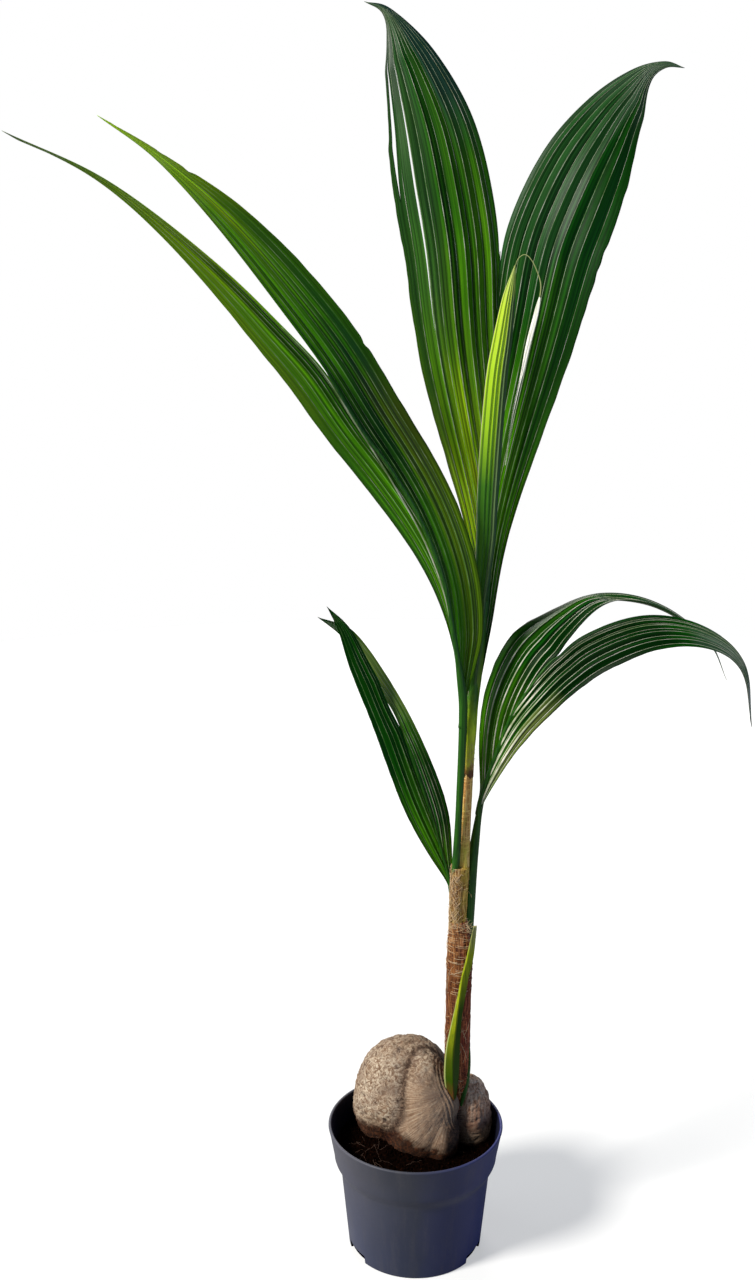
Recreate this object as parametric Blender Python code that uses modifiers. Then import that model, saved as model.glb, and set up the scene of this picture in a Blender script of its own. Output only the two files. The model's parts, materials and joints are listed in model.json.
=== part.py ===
"""A young coconut palm growing from its husk in a nursery pot.

Metres, +Z up, origin at the centre of the pot's flat underside. Two whole fronds stand
above the stem, one arches over to +X, a small one leans to -X, and a closed spear stands
in the middle. Every frond is one blade, split into two lobes past the end of its midrib.
"""
import math

import bmesh
import bpy
from mathutils import Vector

MM = 0.001
GAP = 0.3 * MM                    # clearance between neighbouring solids

# ---------------------------------------------------------------- pot and soil
POT_HEIGHT = 147 * MM
RIM_RADIUS = 95 * MM
COLLAR_RADIUS = 89 * MM           # foot of the collar under the rim
COLLAR_FOOT = 105 * MM            # height of that foot
STEP_RADIUS = 81.5 * MM           # top of the plain wall, under the collar
STEP_HEIGHT = 93 * MM
BASE_RADIUS = 73 * MM
BASE_ROUND = 1.5 * MM             # rounding of the bottom edge
WALL = 1.8 * MM
FLOOR = 3 * MM
NOTCH_ANGLES = (62, 118, 242, 298)    # middle of each drain notch, from -Y towards +X
NOTCH_SPAN = 26                       # degrees that a notch takes of the foot
NOTCH_HEIGHT = 10 * MM
NOTCH_DEPTH = 6 * MM
SOIL_HEIGHT = 118 * MM
SOIL_MOUND = 3 * MM

# ---------------------------------------------------------------- coconut
NUT_CENTRE = Vector((10, 24, 142)) * MM
NUT_LOBES = (                     # centre and half-axes of the swellings of the husk
    ((-10, 27, 157), (58, 54, 60)),       # broad rough back
    ((-9, 30, 179), (50, 46, 51.5)),      # its crown
    ((8, 10, 148), (37, 39, 56)),         # smoother front ridge
    ((25, -7, 131), (21, 25, 29)),        # low end of that ridge
    ((53, 24, 138), (31, 35, 40)),        # ridge behind the stem
    ((44, 12, 136), (24, 24, 32)),        # neck that carries the stem
)
NUT_BLEND = 14                    # the higher, the sharper the creases between the lobes
NUT_DETAIL = 4                    # times that the starting icosphere is divided
SOCKET_FLOOR = 160 * MM           # height at which the stem stands in the husk

# ---------------------------------------------------------------- stem
OUTER_SHEATH = ((45, 2, 160.3), (44.5, 1, 230), (44.3, 0, 300), (44.3, 0, 380))
OUTER_SHEATH_RADII = (13.5, 13.5, 13, 13)
INNER_SHEATH = ((44, 0, 380.3), (44, 0, 412), (44.5, -1, 445))
INNER_SHEATH_RADII = (9.4, 9.2, 8.6)
STEM_CORE = ((47.5, 1, 445.3), (48.5, 1, 500), (51, 1, 555), (53, 1, 585))
STEM_CORE_RADII = (6.0, 5.8, 5.6, 5.4)
STUB = ((40, -11, 188), (42.5, -13, 262), (50, -13, 325), (60, -12, 386))
STUB_RADII = (9.5, 7.5, 5, 2.6)

# ---------------------------------------------------------------- fronds
BLADE_THICKNESS = 2.8 * MM
PLEATS = 5                        # folds across a blade
PLEAT_RISE = 0.11                 # height of a fold over its width
CUP = 0.10                        # bulge of a blade's cross section over its width
ROW_SPACING = 24 * MM
RIB_SPACING = 12 * MM
SPREAD_REACH = 25 * MM             # half the stretch of midrib that a blade stands square to
RIB_CLEARANCE = 1.1 * MM          # from a midrib's side to its blade
JOIN = 0.8 * MM                   # between the two halves of an arching lobe
TIP_WIDTH = 2.5 * MM

# A frond has the route of its stalk and midrib, with the radii at the ends of each, and two
# lobes. A lobe has the route from the end of the midrib to its tip, the directions that it
# spreads in from the midrib, evenly spaced from foot to tip, and its widths as pairs: the
# share of the way from the foot of the blade to the tip, and the millimetres there.
FRONDS = {
    "frond_front": dict(
        stalk=((40, -10, 445.5), (41, -11, 540), (42, -12, 600)),
        midrib=((43.5, -13, 639), (33, -18, 712), (21, -24, 771), (-2, -32, 831),
                (-32, -42, 883), (-58, -50, 920), (-89, -62, 975)),
        radii=(3.8, 3.0, 1.2), bulge=-1,
        lobes=dict(
            left=dict(
                tip_route=((-118, -70, 1006), (-179, -85, 1069), (-269, -110, 1142), (-356, -130, 1185)),
                spread=((-0.9, 0.3, -0.4), (-0.77, 0.3, -0.6), (-0.5, 0.3, -0.8)),
                widths=((0.12, 5), (0.2, 15), (0.3, 28), (0.4, 33), (0.5, 38), (0.6, 32), (0.7, 22),
                        (0.8, 11), (0.9, 4), (1, 0))),
            right=dict(
                tip_route=((-123, -70, 1023), (-180, -85, 1101), (-231, -100, 1160), (-278, -115, 1197)),
                spread=((0.9, 0.3, 0.1), (0.8, 0.3, 0.45), (0.6, 0.3, 0.7)),
                widths=((0, 4), (0.05, 18), (0.1, 33), (0.2, 38), (0.4, 43), (0.5, 46), (0.6, 45),
                        (0.7, 40), (0.8, 28), (0.9, 9), (1, 0))))),
    "frond_back": dict(
        stalk=((55, 4.5, 585.3), (56, 6, 610)),
        midrib=((57, 8, 640), (62, 11, 684), (68, 15, 735), (72, 28, 834), (74, 42, 931),
                (75, 53, 1007), (77, 65, 1072)),
        radii=(3.2, 2.6, 1.2), bulge=1,
        lobes=dict(
            left=dict(
                tip_route=((70, 75, 1123), (52, 88, 1192), (14, 100, 1254), (-28, 110, 1293),
                           (-54, 112, 1300)),
                spread=((-0.9, -0.3, 0.2), (-0.95, -0.3, 0), (-0.8, -0.3, -0.6)),
                widths=((0, 4), (0.1, 8), (0.2, 20), (0.3, 44), (0.4, 69), (0.5, 87), (0.6, 98),
                        (0.7, 100), (0.8, 88), (0.9, 54), (0.94, 28), (0.97, 9), (1, 0))),
            right=dict(
                tip_route=((88, 72, 1107), (118, 85, 1166), (160, 97, 1211), (202, 105, 1238),
                           (234, 110, 1246), (254, 110, 1240)),
                spread=((0.9, -0.3, -0.1), (0.95, -0.3, -0.2), (0.7, -0.3, -0.9)),
                widths=((0, 4), (0.1, 8), (0.2, 13), (0.3, 32), (0.4, 56), (0.5, 79), (0.6, 97),
                        (0.7, 98), (0.8, 86), (0.9, 49), (0.95, 15), (1, 0))))),
    "frond_arching": dict(
        stalk=((56.5, 7, 380.6), (58, 9, 420), (60, 9, 465), (62, 8, 506)),
        midrib=((68, 6, 536), (81, 4, 579), (94, 2, 616), (111, 0, 646), (129, 0, 672), (140, 0, 682)),
        radii=(3.2, 2.8, 1.2), bulge=1, split_at=0.5,
        lobes=dict(
            near=dict(
                tip_route=((163, -2, 704), (222, -5, 726), (281, -10, 716), (322, -15, 680), (333, -18, 612)),
                spread=((0.6, -0.6, -0.4), (0.2, -0.7, -0.7), (-0.6, -0.6, -0.4)),
                widths=((0, 8), (0.1, 19), (0.2, 32), (0.3, 41), (0.4, 46), (0.5, 46), (0.6, 41),
                        (0.7, 29), (0.8, 15), (0.9, 7), (1, 0))),
            far=dict(
                tip_route=((152, 12, 697), (191, 26, 731), (246, 32, 723), (295, 34, 684), (316, 34, 644)),
                spread=((-0.7, 0.5, 0.4), (-0.5, 0.6, 0.6), (0.1, 0.95, -0.11), (0.15, 0.97, -0.17)),
                widths=((0, 5), (0.1, 22), (0.2, 37), (0.3, 49), (0.4, 55), (0.5, 48), (0.6, 42),
                        (0.7, 36), (0.8, 28), (0.9, 14), (1, 0))))),
    "frond_small": dict(
        stalk=((39.5, 10.6, 380.6), (38, 12, 405)),
        midrib=((34, 12.5, 430), (23, 13, 472), (11, 14, 514), (-14, 18, 587)),
        radii=(2.4, 2.0, 1.0), bulge=1,
        lobes=dict(
            left=dict(
                tip_route=((-31, 18, 630), (-52, 16, 673), (-70, 14, 707), (-92, 12, 729)),
                spread=((-0.8, -0.3, -0.3), (-0.8, -0.3, -0.4), (-0.8, -0.3, -0.5)),
                widths=((0, 4), (0.1, 14), (0.2, 22), (0.3, 26.5), (0.5, 27), (0.7, 24), (0.8, 20),
                        (0.9, 13), (1, 0))),
            right=dict(
                tip_route=((-48, 30, 646), (-75, 35, 687), (-102, 35, 711)),
                spread=((0.8, 0.3, 0.3), (0.8, 0.3, 0.4), (0.8, 0.3, 0.5)),
                widths=((0, 4), (0.1, 11), (0.2, 18), (0.3, 19.5), (0.5, 16), (0.7, 16), (0.8, 15),
                        (0.9, 12), (1, 0))))),
}
SPEAR = ((51.5, -2.5, 585.3), (53, -2.5, 640), (60, 0, 739), (66, 4, 839), (73, 8, 936), (80, 12, 1011),
         (88, 16, 1062))
SPEAR_RADII = (2.2, 3, 4.5, 8, 9.5, 6, 1.2)
SPEAR_FLATNESS = 0.45

COLOURS = {                       # linear red, green, blue and roughness
    "pot": ((0.06, 0.065, 0.09), 0.5),
    "soil": ((0.02, 0.012, 0.008), 0.95),
    "husk": ((0.30, 0.24, 0.18), 0.9),
    "sheath": ((0.25, 0.11, 0.05), 0.85),
    "stem": ((0.33, 0.22, 0.10), 0.7),
    "stalk": ((0.05, 0.16, 0.02), 0.5),
    "blade": ((0.02, 0.10, 0.01), 0.45),
    "spear": ((0.35, 0.50, 0.03), 0.5),
}


def clear_scene():
    for obj in list(bpy.data.objects):
        bpy.data.objects.remove(obj)


def new_collection(name):
    collection = bpy.data.collections.new(name)
    bpy.context.scene.collection.children.link(collection)
    return collection


def material(slot):
    """The Principled material of one slot, made the first time it is asked for."""
    if slot not in bpy.data.materials:
        colour, roughness = COLOURS[slot]
        made = bpy.data.materials.new(slot)
        made.use_nodes = True
        shader = made.node_tree.nodes["Principled BSDF"]
        shader.inputs["Base Color"].default_value = (*colour, 1)
        shader.inputs["Roughness"].default_value = roughness
    return bpy.data.materials[slot]


def add_object(name, mesh, collection, slot=None, smooth=True):
    obj = bpy.data.objects.new(name, mesh)
    collection.objects.link(obj)
    if smooth:
        mesh.shade_smooth()
        mesh.set_sharp_from_angle(angle=math.radians(40))
    if slot:
        mesh.materials.clear()
        mesh.materials.append(material(slot))
    return obj


def add_cutter(name, mesh):
    cutter = add_object(name, mesh, cutters, smooth=False)
    cutter.hide_render = True
    cutter.display_type = "WIRE"
    return cutter


def cut(obj, cutter):
    modifier = obj.modifiers.new("cut by " + cutter.name, "BOOLEAN")
    modifier.operation = "DIFFERENCE"
    modifier.object = cutter


def turned(name, profile, steps, collection, slot=None):
    """A profile of (radius, height) turned round Z; it starts and ends on the axis."""
    mesh = bpy.data.meshes.new(name)
    points = [(radius, 0, height) for radius, height in profile]
    mesh.from_pydata(points, [(i, i + 1) for i in range(len(points) - 1)], [])
    obj = add_object(name, mesh, collection, slot, smooth=False)
    screw = obj.modifiers.new("turn", "SCREW")
    screw.steps = screw.render_steps = steps
    screw.use_merge_vertices = True
    screw.merge_threshold = 0.00005
    screw.use_smooth_shade = True
    return obj


# ---------------------------------------------------------------- routes
class Route:
    """A smooth curve through points, measured by the distance along it."""

    def __init__(self, points, steps_per_span=24):
        knots = [Vector(p) * MM for p in points]
        ends = [2 * knots[0] - knots[1]] + knots + [2 * knots[-1] - knots[-2]]
        self.points = [knots[0]]
        self.distances = [0.0]
        self.knot_distances = [0.0]
        for span in range(len(knots) - 1):
            before, start, end, after = ends[span:span + 4]
            for step in range(1, steps_per_span + 1):
                t = step / steps_per_span
                point = 0.5 * (2 * start + (end - before) * t
                               + (2 * before - 5 * start + 4 * end - after) * t ** 2
                               + (3 * start - before - 3 * end + after) * t ** 3)
                self.distances.append(self.distances[-1] + (point - self.points[-1]).length)
                self.points.append(point)
            self.knot_distances.append(self.distances[-1])

    def at(self, distance):
        for i in range(1, len(self.points)):
            if self.distances[i] >= distance or i == len(self.points) - 1:
                share = (distance - self.distances[i - 1]) / (self.distances[i] - self.distances[i - 1])
                return self.points[i - 1].lerp(self.points[i], share)

    def direction(self, distance, reach=1 * MM):
        return (self.at(distance + reach) - self.at(distance - reach)).normalized()


def between(values, share):
    """The value at a share of the way along evenly spaced values, numbers or vectors."""
    place = min(max(share, 0), 1) * (len(values) - 1)
    i = min(int(place), len(values) - 2)
    return values[i] + (values[i + 1] - values[i]) * (place - i)


def profile(stations, share):
    """The value at a share along (share, value) stations, joined by a smooth curve."""
    i = max(k for k in range(len(stations) - 1) if stations[k][0] <= share)
    slopes = []
    for k in (i, i + 1):
        low, high = stations[max(k - 1, 0)], stations[min(k + 1, len(stations) - 1)]
        slopes.append((high[1] - low[1]) / (high[0] - low[0]))
    (start, first), (end, last) = stations[i], stations[i + 1]
    span = end - start
    t = (share - start) / span
    return (first * (1 + 2 * t) * (1 - t) ** 2 + last * t * t * (3 - 2 * t)
            + span * (slopes[0] * t * (1 - t) ** 2 - slopes[1] * t * t * (1 - t)))


def limb_mesh(name, points, radii, steps=14, sides=4, extra=0.0):
    """A tapering round tube through points, with radii evenly spaced along it."""
    route = Route(points)
    length = route.distances[-1]
    rings = [(route.at(length * i / steps), between(radii, i / steps) * MM + extra)
             for i in range(steps + 1)]
    return tube_mesh(name, rings, sides)


def tube_mesh(name, rings, sides):
    """A round tube through rings of (centre, radius), as a welded closed mesh."""
    curve = bpy.data.curves.new(name, "CURVE")
    curve.dimensions = "3D"
    curve.bevel_depth = 1.0
    curve.bevel_resolution = sides
    curve.use_fill_caps = True
    line = curve.splines.new("POLY")
    line.points.add(len(rings) - 1)
    for point, (centre, radius) in zip(line.points, rings):
        point.co = (*centre, 1)
        point.radius = radius
    guide = bpy.data.objects.new(name, curve)
    cutters.objects.link(guide)
    evaluated = guide.evaluated_get(bpy.context.evaluated_depsgraph_get())
    mesh = bpy.data.meshes.new_from_object(evaluated)
    bpy.data.objects.remove(guide)
    weld(mesh)
    return mesh


def weld(mesh):
    bm = bmesh.new()
    bm.from_mesh(mesh)
    bmesh.ops.remove_doubles(bm, verts=bm.verts, dist=0.00001)
    bmesh.ops.recalc_face_normals(bm, faces=bm.faces)
    bm.to_mesh(mesh)
    bm.free()


# ---------------------------------------------------------------- pot, soil, coconut
def pot_radius(height, inside=0.0):
    """Radius of the pot's outer wall at a height, less the distance inside."""
    levels = ((0, BASE_RADIUS), (STEP_HEIGHT, STEP_RADIUS), (COLLAR_FOOT, COLLAR_RADIUS),
              (POT_HEIGHT, RIM_RADIUS))
    for (low, low_radius), (high, high_radius) in zip(levels, levels[1:]):
        if height <= high:
            break
    return low_radius + (high_radius - low_radius) * (height - low) / (high - low) - inside


def build_pot():
    inner = [(0, FLOOR), (pot_radius(FLOOR, WALL), FLOOR), (pot_radius(STEP_HEIGHT, WALL), STEP_HEIGHT),
             (pot_radius(COLLAR_FOOT, WALL), COLLAR_FOOT), (RIM_RADIUS - WALL, POT_HEIGHT)]
    outer = [(RIM_RADIUS, POT_HEIGHT), (COLLAR_RADIUS, COLLAR_FOOT), (STEP_RADIUS, STEP_HEIGHT),
             (pot_radius(BASE_ROUND), BASE_ROUND), (BASE_RADIUS - BASE_ROUND, 0), (0, 0)]
    pot = turned("pot", inner + outer, 48, parts, "pot")
    for angle in NOTCH_ANGLES:
        cut(pot, notch_cutter(angle))


def notch_cutter(angle):
    """A block whose inner face follows the pot's foot, at an angle from -Y towards +X."""
    mesh = bpy.data.meshes.new("notch")
    bm = bmesh.new()
    bmesh.ops.create_cube(bm, size=1)
    width = 2 * BASE_RADIUS * math.sin(math.radians(NOTCH_SPAN / 2))
    for vertex in bm.verts:
        vertex.co.x = vertex.co.x * width
        vertex.co.y = -BASE_RADIUS + vertex.co.y * 2 * NOTCH_DEPTH
        vertex.co.z = vertex.co.z * 2 * NOTCH_HEIGHT
    bm.to_mesh(mesh)
    bm.free()
    cutter = add_cutter("notch_%d" % angle, mesh)
    cutter.rotation_euler.z = math.radians(angle)
    return cutter


def build_soil():
    floor = FLOOR + GAP
    profile = [(0, SOIL_HEIGHT + SOIL_MOUND), (0.5 * BASE_RADIUS, SOIL_HEIGHT + SOIL_MOUND * 0.7)]
    for height in (SOIL_HEIGHT, COLLAR_FOOT, STEP_HEIGHT, floor):
        profile.append((pot_radius(height, WALL + GAP), height))
    profile.append((0, floor))
    soil = turned("soil", profile, 48, parts, "soil")
    cut(soil, add_cutter("nut_pocket", coconut_mesh("nut_pocket", GAP)))


def husk_radius(direction):
    """Distance from the nut's centre to its skin: a soft maximum over its lobes."""
    total = 0.0
    for centre, half_axes in NUT_LOBES:
        offset = Vector(centre) * MM - NUT_CENTRE
        half = Vector(half_axes) * MM
        ray = Vector([d / h for d, h in zip(direction, half)])
        start = Vector([o / h for o, h in zip(offset, half)])
        a, b, c = ray.dot(ray), ray.dot(start), start.dot(start) - 1
        if b * b >= a * c:
            total += max(0.0, (b + math.sqrt(b * b - a * c)) / a / MM) ** NUT_BLEND
    return total ** (1 / NUT_BLEND) * MM


def coconut_mesh(name, growth=0.0):
    mesh = bpy.data.meshes.new(name)
    bm = bmesh.new()
    bmesh.ops.create_icosphere(bm, subdivisions=NUT_DETAIL, radius=1)
    for vertex in bm.verts:
        direction = vertex.co.normalized()
        vertex.co = NUT_CENTRE + direction * (husk_radius(direction) + growth)
    bm.to_mesh(mesh)
    bm.free()
    return mesh


def build_coconut():
    nut = add_object("coconut", coconut_mesh("coconut"), parts, "husk")
    floor = (OUTER_SHEATH[0][0], OUTER_SHEATH[0][1], SOCKET_FLOOR / MM)
    socket_route = (floor,) + OUTER_SHEATH[1:]
    cut(nut, add_cutter("socket", limb_mesh("socket", socket_route, OUTER_SHEATH_RADII, extra=GAP)))
    cut(nut, add_cutter("stub_seat", limb_mesh("stub_seat", STUB, STUB_RADII, extra=GAP)))


# ---------------------------------------------------------------- stem
def build_stem():
    for name, points, radii, steps, slot in (
            ("outer_sheath", OUTER_SHEATH, OUTER_SHEATH_RADII, 14, "sheath"),
            ("inner_sheath", INNER_SHEATH, INNER_SHEATH_RADII, 6, "sheath"),
            ("stem_core", STEM_CORE, STEM_CORE_RADII, 8, "stem")):
        add_object(name, limb_mesh(name, points, radii, steps), parts, slot)
    stub = add_object("cut_stalk", limb_mesh("cut_stalk", STUB, STUB_RADII), parts, "stalk")
    grown = limb_mesh("stub_back", OUTER_SHEATH, OUTER_SHEATH_RADII, extra=GAP)
    cut(stub, add_cutter("stub_back", grown))


def build_spear():
    mesh = limb_mesh("spear", SPEAR, SPEAR_RADII, 22, 3)
    route = Route(SPEAR)
    for vertex in mesh.vertices:
        nearest = min(route.points, key=lambda p: (p - vertex.co).length)
        vertex.co.y = nearest.y + (vertex.co.y - nearest.y) * SPEAR_FLATNESS
    add_object("spear", mesh, parts, "spear")


# ---------------------------------------------------------------- fronds
def rib_radius(radii, distance, blade_start, split):
    """Radius of a stalk and midrib at a distance along it."""
    foot, middle, end = radii
    if distance < blade_start:
        return (foot + (middle - foot) * distance / blade_start) * MM
    return (middle + (end - middle) * min(1, (distance - blade_start) / (split - blade_start))) * MM


def build_frond(name, frond):
    rib_points = frond["stalk"] + frond["midrib"]
    rib = Route(rib_points)
    blade_start, split = rib.knot_distances[len(frond["stalk"])], rib.knot_distances[-1]
    rib_end = rib.knot_distances[-2]
    steps = round(rib_end / RIB_SPACING)
    rings = []
    for i in range(steps + 1):
        distance = rib_end * i / steps
        rings.append((rib.at(distance), rib_radius(frond["radii"], distance, blade_start, split)))
    add_object(name + "_midrib", tube_mesh(name + "_midrib", rings, 2), parts, "stalk")
    for side, lobe in frond["lobes"].items():
        foot = lobe["widths"][0][0]
        shares = (foot, frond["split_at"], 1) if "split_at" in frond else (foot, 1)
        ends = ("_foot", "_tip") if "split_at" in frond else ("",)
        blade = Blade(frond, lobe)
        for end, low, high in zip(ends, shares, shares[1:]):
            low += JOIN / blade.length if low > foot else 0
            build_blade(name + "_" + side + end, blade, low, high)


class Blade:
    """The rule that one lobe follows: a point for each share along it and across it."""

    def __init__(self, frond, lobe):
        self.frond = frond
        self.lobe = lobe
        self.route = Route(frond["stalk"] + frond["midrib"] + lobe["tip_route"])
        self.start = self.route.knot_distances[len(frond["stalk"])]
        split_knot = len(frond["stalk"]) + len(frond["midrib"]) - 1
        self.rib_end, self.split = self.route.knot_distances[split_knot - 1:split_knot + 1]
        self.length = self.route.distances[-1] - self.start

    def point(self, along, across):
        distance = self.start + along * self.length
        tangent = self.route.direction(distance, SPREAD_REACH)
        spread = between([Vector(v) for v in self.lobe["spread"]], along)
        spread = (spread - tangent * spread.dot(tangent)).normalized()
        face = tangent.cross(spread)
        if face.y > 0:
            face = -face
        past_rib = max(0, (distance - self.rib_end) / (self.split - self.rib_end))
        radius = rib_radius(self.frond["radii"], distance, self.start, self.split)
        root = (radius + RIB_CLEARANCE) * max(0.5, 1 - 0.5 * past_rib)
        width = max(profile(self.lobe["widths"], along) * MM - root, TIP_WIDTH)
        fold = abs((across * PLEATS) % 1 - 0.5) * 4 - 1
        rise = (CUP * width * 4 * across * (1 - across) * self.frond["bulge"]
                + PLEAT_RISE * width / PLEATS * fold)
        return self.route.at(distance) + spread * (root + across * width) + face * rise


def build_blade(name, blade, low, high):
    """One lobe, from one share of its length to another: a grid bent by rule and thickened."""
    mesh = bpy.data.meshes.new(name)
    bm = bmesh.new()
    rows = round(blade.length * (high - low) / ROW_SPACING)
    bmesh.ops.create_grid(bm, x_segments=2 * PLEATS, y_segments=rows, size=0.5)
    for vertex in bm.verts:
        along = low + (high - low) * (vertex.co.y + 0.5)
        vertex.co = blade.point(along, vertex.co.x + 0.5)
    bm.to_mesh(mesh)
    bm.free()
    obj = add_object(name, mesh, parts, "blade")
    shell = obj.modifiers.new("thickness", "SOLIDIFY")
    shell.thickness = BLADE_THICKNESS
    shell.offset = 0


clear_scene()
parts = new_collection("potted_coconut_palm")
cutters = new_collection("cutters")
build_pot()
build_soil()
build_coconut()
build_stem()
build_spear()
for frond_name, frond_sizes in FRONDS.items():
    build_frond(frond_name, frond_sizes)
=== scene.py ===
# %% [markdown]
# # A potted coconut palm
# A young coconut palm still feeds on its nut. The nut lies half sunk in the peat of a nursery
# pot, the stem stands at its eye, wrapped in brown fibre, and the first fronds are whole blades
# that will only later divide into leaflets. This lesson dresses a packed model of such a plant:
# each solid of that model is replaced by a finer piece with a procedural finish. The packed
# model is loaded first, because the finer pieces lie where its solids lie.

# %% Load the packed model
import json
import math

import bmesh
import bpy
import numpy as np
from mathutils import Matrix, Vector, noise

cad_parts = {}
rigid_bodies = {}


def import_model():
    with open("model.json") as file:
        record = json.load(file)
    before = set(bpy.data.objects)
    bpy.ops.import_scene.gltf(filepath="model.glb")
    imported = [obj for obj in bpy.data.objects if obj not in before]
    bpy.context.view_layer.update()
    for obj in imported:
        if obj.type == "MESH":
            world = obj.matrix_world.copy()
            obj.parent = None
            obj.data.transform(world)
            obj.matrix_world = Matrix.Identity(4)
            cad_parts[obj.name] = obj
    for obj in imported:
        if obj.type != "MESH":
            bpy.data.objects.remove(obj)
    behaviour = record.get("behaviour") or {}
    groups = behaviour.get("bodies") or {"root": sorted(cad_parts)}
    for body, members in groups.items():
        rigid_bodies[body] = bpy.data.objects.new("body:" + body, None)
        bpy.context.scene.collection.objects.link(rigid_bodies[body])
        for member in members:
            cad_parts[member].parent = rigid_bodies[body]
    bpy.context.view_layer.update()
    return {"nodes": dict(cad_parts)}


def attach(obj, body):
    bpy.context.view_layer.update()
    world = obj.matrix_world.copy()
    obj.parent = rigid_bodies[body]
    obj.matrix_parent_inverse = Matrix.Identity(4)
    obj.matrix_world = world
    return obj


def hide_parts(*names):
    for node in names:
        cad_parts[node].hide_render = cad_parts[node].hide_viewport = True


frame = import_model()

# %% [markdown]
# ## Camera
# A wide lens close to the plant would make the near fronds loom, and a very long one would
# flatten the crown. A lens near 48 mm, a little over a metre and a half away, keeps them in
# proportion. The camera stands nearly as high as the tips and looks down a little, so that the
# peat in the pot shows as a narrow ellipse.

# %% Camera
SENSOR_MM, LENS_MM = 36, 47.8125
CAMERA_PLACE, CAMERA_TILT = (-0.0415, -1.615, 1.202), math.radians(72.66)

scene = bpy.context.scene
lens = bpy.data.cameras.new("camera")
lens.sensor_width = SENSOR_MM
lens.lens = LENS_MM
camera = bpy.data.objects.new("camera", lens)
camera.location = CAMERA_PLACE
camera.rotation_euler = (CAMERA_TILT, 0, 0)
scene.collection.objects.link(camera)
scene.camera = camera
print("field of view:", round(math.degrees(lens.angle), 1), "degrees")

# %% [markdown]
# ## Light
# Soft daylight is one strong warm source and a weak cool sky. A large area lamp could be that
# source, but it fades along a plant over a metre high. A sun lamp from the upper left is equally
# strong from the pot to the tips, so it is the key here: every fold gets a lit flank and a shaded
# one. A cool fill from the right, a pale lamp from the left and one from behind keep the edges
# and the far side readable. A narrow spot reaches the foot of the crown, which the front frond
# would leave dark. The world is a weak sky blue to the plant and plain white to the camera.

# %% Lamps
# Each lamp: its kind, place and target in metres, strength, colour and other settings.
LAMPS = {
    "key_lamp": ("SUN", (0, 0, 0), (0.82, 0.50, -0.85), 4.6, (1.0, 0.97, 0.91),
                 dict(angle=math.radians(14))),
    "fill_lamp": ("AREA", (2.6, -1.6, 0.9), (0, 0, 0.3), 14, (0.30, 0.48, 1.0), dict(size=1.8)),
    "rim_lamp": ("AREA", (-2.4, 0.5, 0.9), (0, 0, 0.4), 16, (0.92, 0.96, 1.0), dict(size=1.6)),
    "back_lamp": ("AREA", (-0.4, 2.8, 1.9), (0, 0, 0.6), 34, (1.0, 0.97, 0.92), dict(size=1.6)),
    "foot_lamp": ("SPOT", (0.0, -1.75, 1.25), (0.080, 0.02, 0.85), 50, (1.0, 0.98, 0.80),
                  dict(spot_size=math.radians(7.5), spot_blend=1.0, shadow_soft_size=0.1)),
}


def aimed_lamp(name, kind, place, target, strength, colour, settings):
    """A lamp at a place that looks at a target."""
    data = bpy.data.lights.new(name, kind)
    data.energy, data.color = strength, colour
    for setting, value in settings.items():
        setattr(data, setting, value)
    lamp = bpy.data.objects.new(name, data)
    lamp.location = place
    lamp.rotation_euler = (Vector(target) - Vector(place)).to_track_quat("-Z", "Y").to_euler()
    scene.collection.objects.link(lamp)


for lamp_name, settings in LAMPS.items():
    aimed_lamp(lamp_name, *settings)
print("lamps:", len(LAMPS))

# %% World
SKY, SKY_STRENGTH, WHITE = (0.66, 0.82, 1.0), 0.17, (1, 1, 1)


def join_all(tree, *joints):
    """Links (output, socket) pairs of a node tree."""
    for output, socket in joints:
        tree.links.new(output, socket)


world = bpy.data.worlds.new("studio")
scene.world = world
world.use_nodes = True
nodes = world.node_tree.nodes
shade = nodes["Background"]
shade.inputs["Color"].default_value = (*SKY, 1)
shade.inputs["Strength"].default_value = SKY_STRENGTH
white, sight, either = [nodes.new("ShaderNode" + kind)
                        for kind in ("Background", "LightPath", "MixShader")]
white.inputs["Color"].default_value = (*WHITE, 1)
join_all(world.node_tree,
         (sight.outputs["Is Camera Ray"], either.inputs[0]),
         (shade.outputs[0], either.inputs[1]), (white.outputs[0], either.inputs[2]),
         (either.outputs[0], nodes["World Output"].inputs["Surface"]))
scene.view_settings.view_transform = "Standard"
print("sky:", SKY, "at", SKY_STRENGTH, "and white behind the plant")

# %% [markdown] ## Floor The floor is a plain pale disc that catches the pot's shadow. A white
# sheet would do, but it throws light up under the leaves and the husk. So the disc is nearly
# white to the camera and a dim grey to every other ray.

# %% Floor
FLOOR_RADIUS, FLOOR_GREY, FLOOR_DIM, FLOOR_GLOW = 2.4, 0.9, 0.30, 0.45


def plain_finish(name, colour, roughness):
    """A Principled material of one colour, to which patterns are added."""
    finish = bpy.data.materials.new(name)
    finish.use_nodes = True
    shader = finish.node_tree.nodes["Principled BSDF"]
    shader.inputs["Base Color"].default_value = (*colour, 1)
    shader.inputs["Roughness"].default_value = roughness
    shader.inputs["Specular IOR Level"].default_value = 0.3
    return finish


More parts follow.
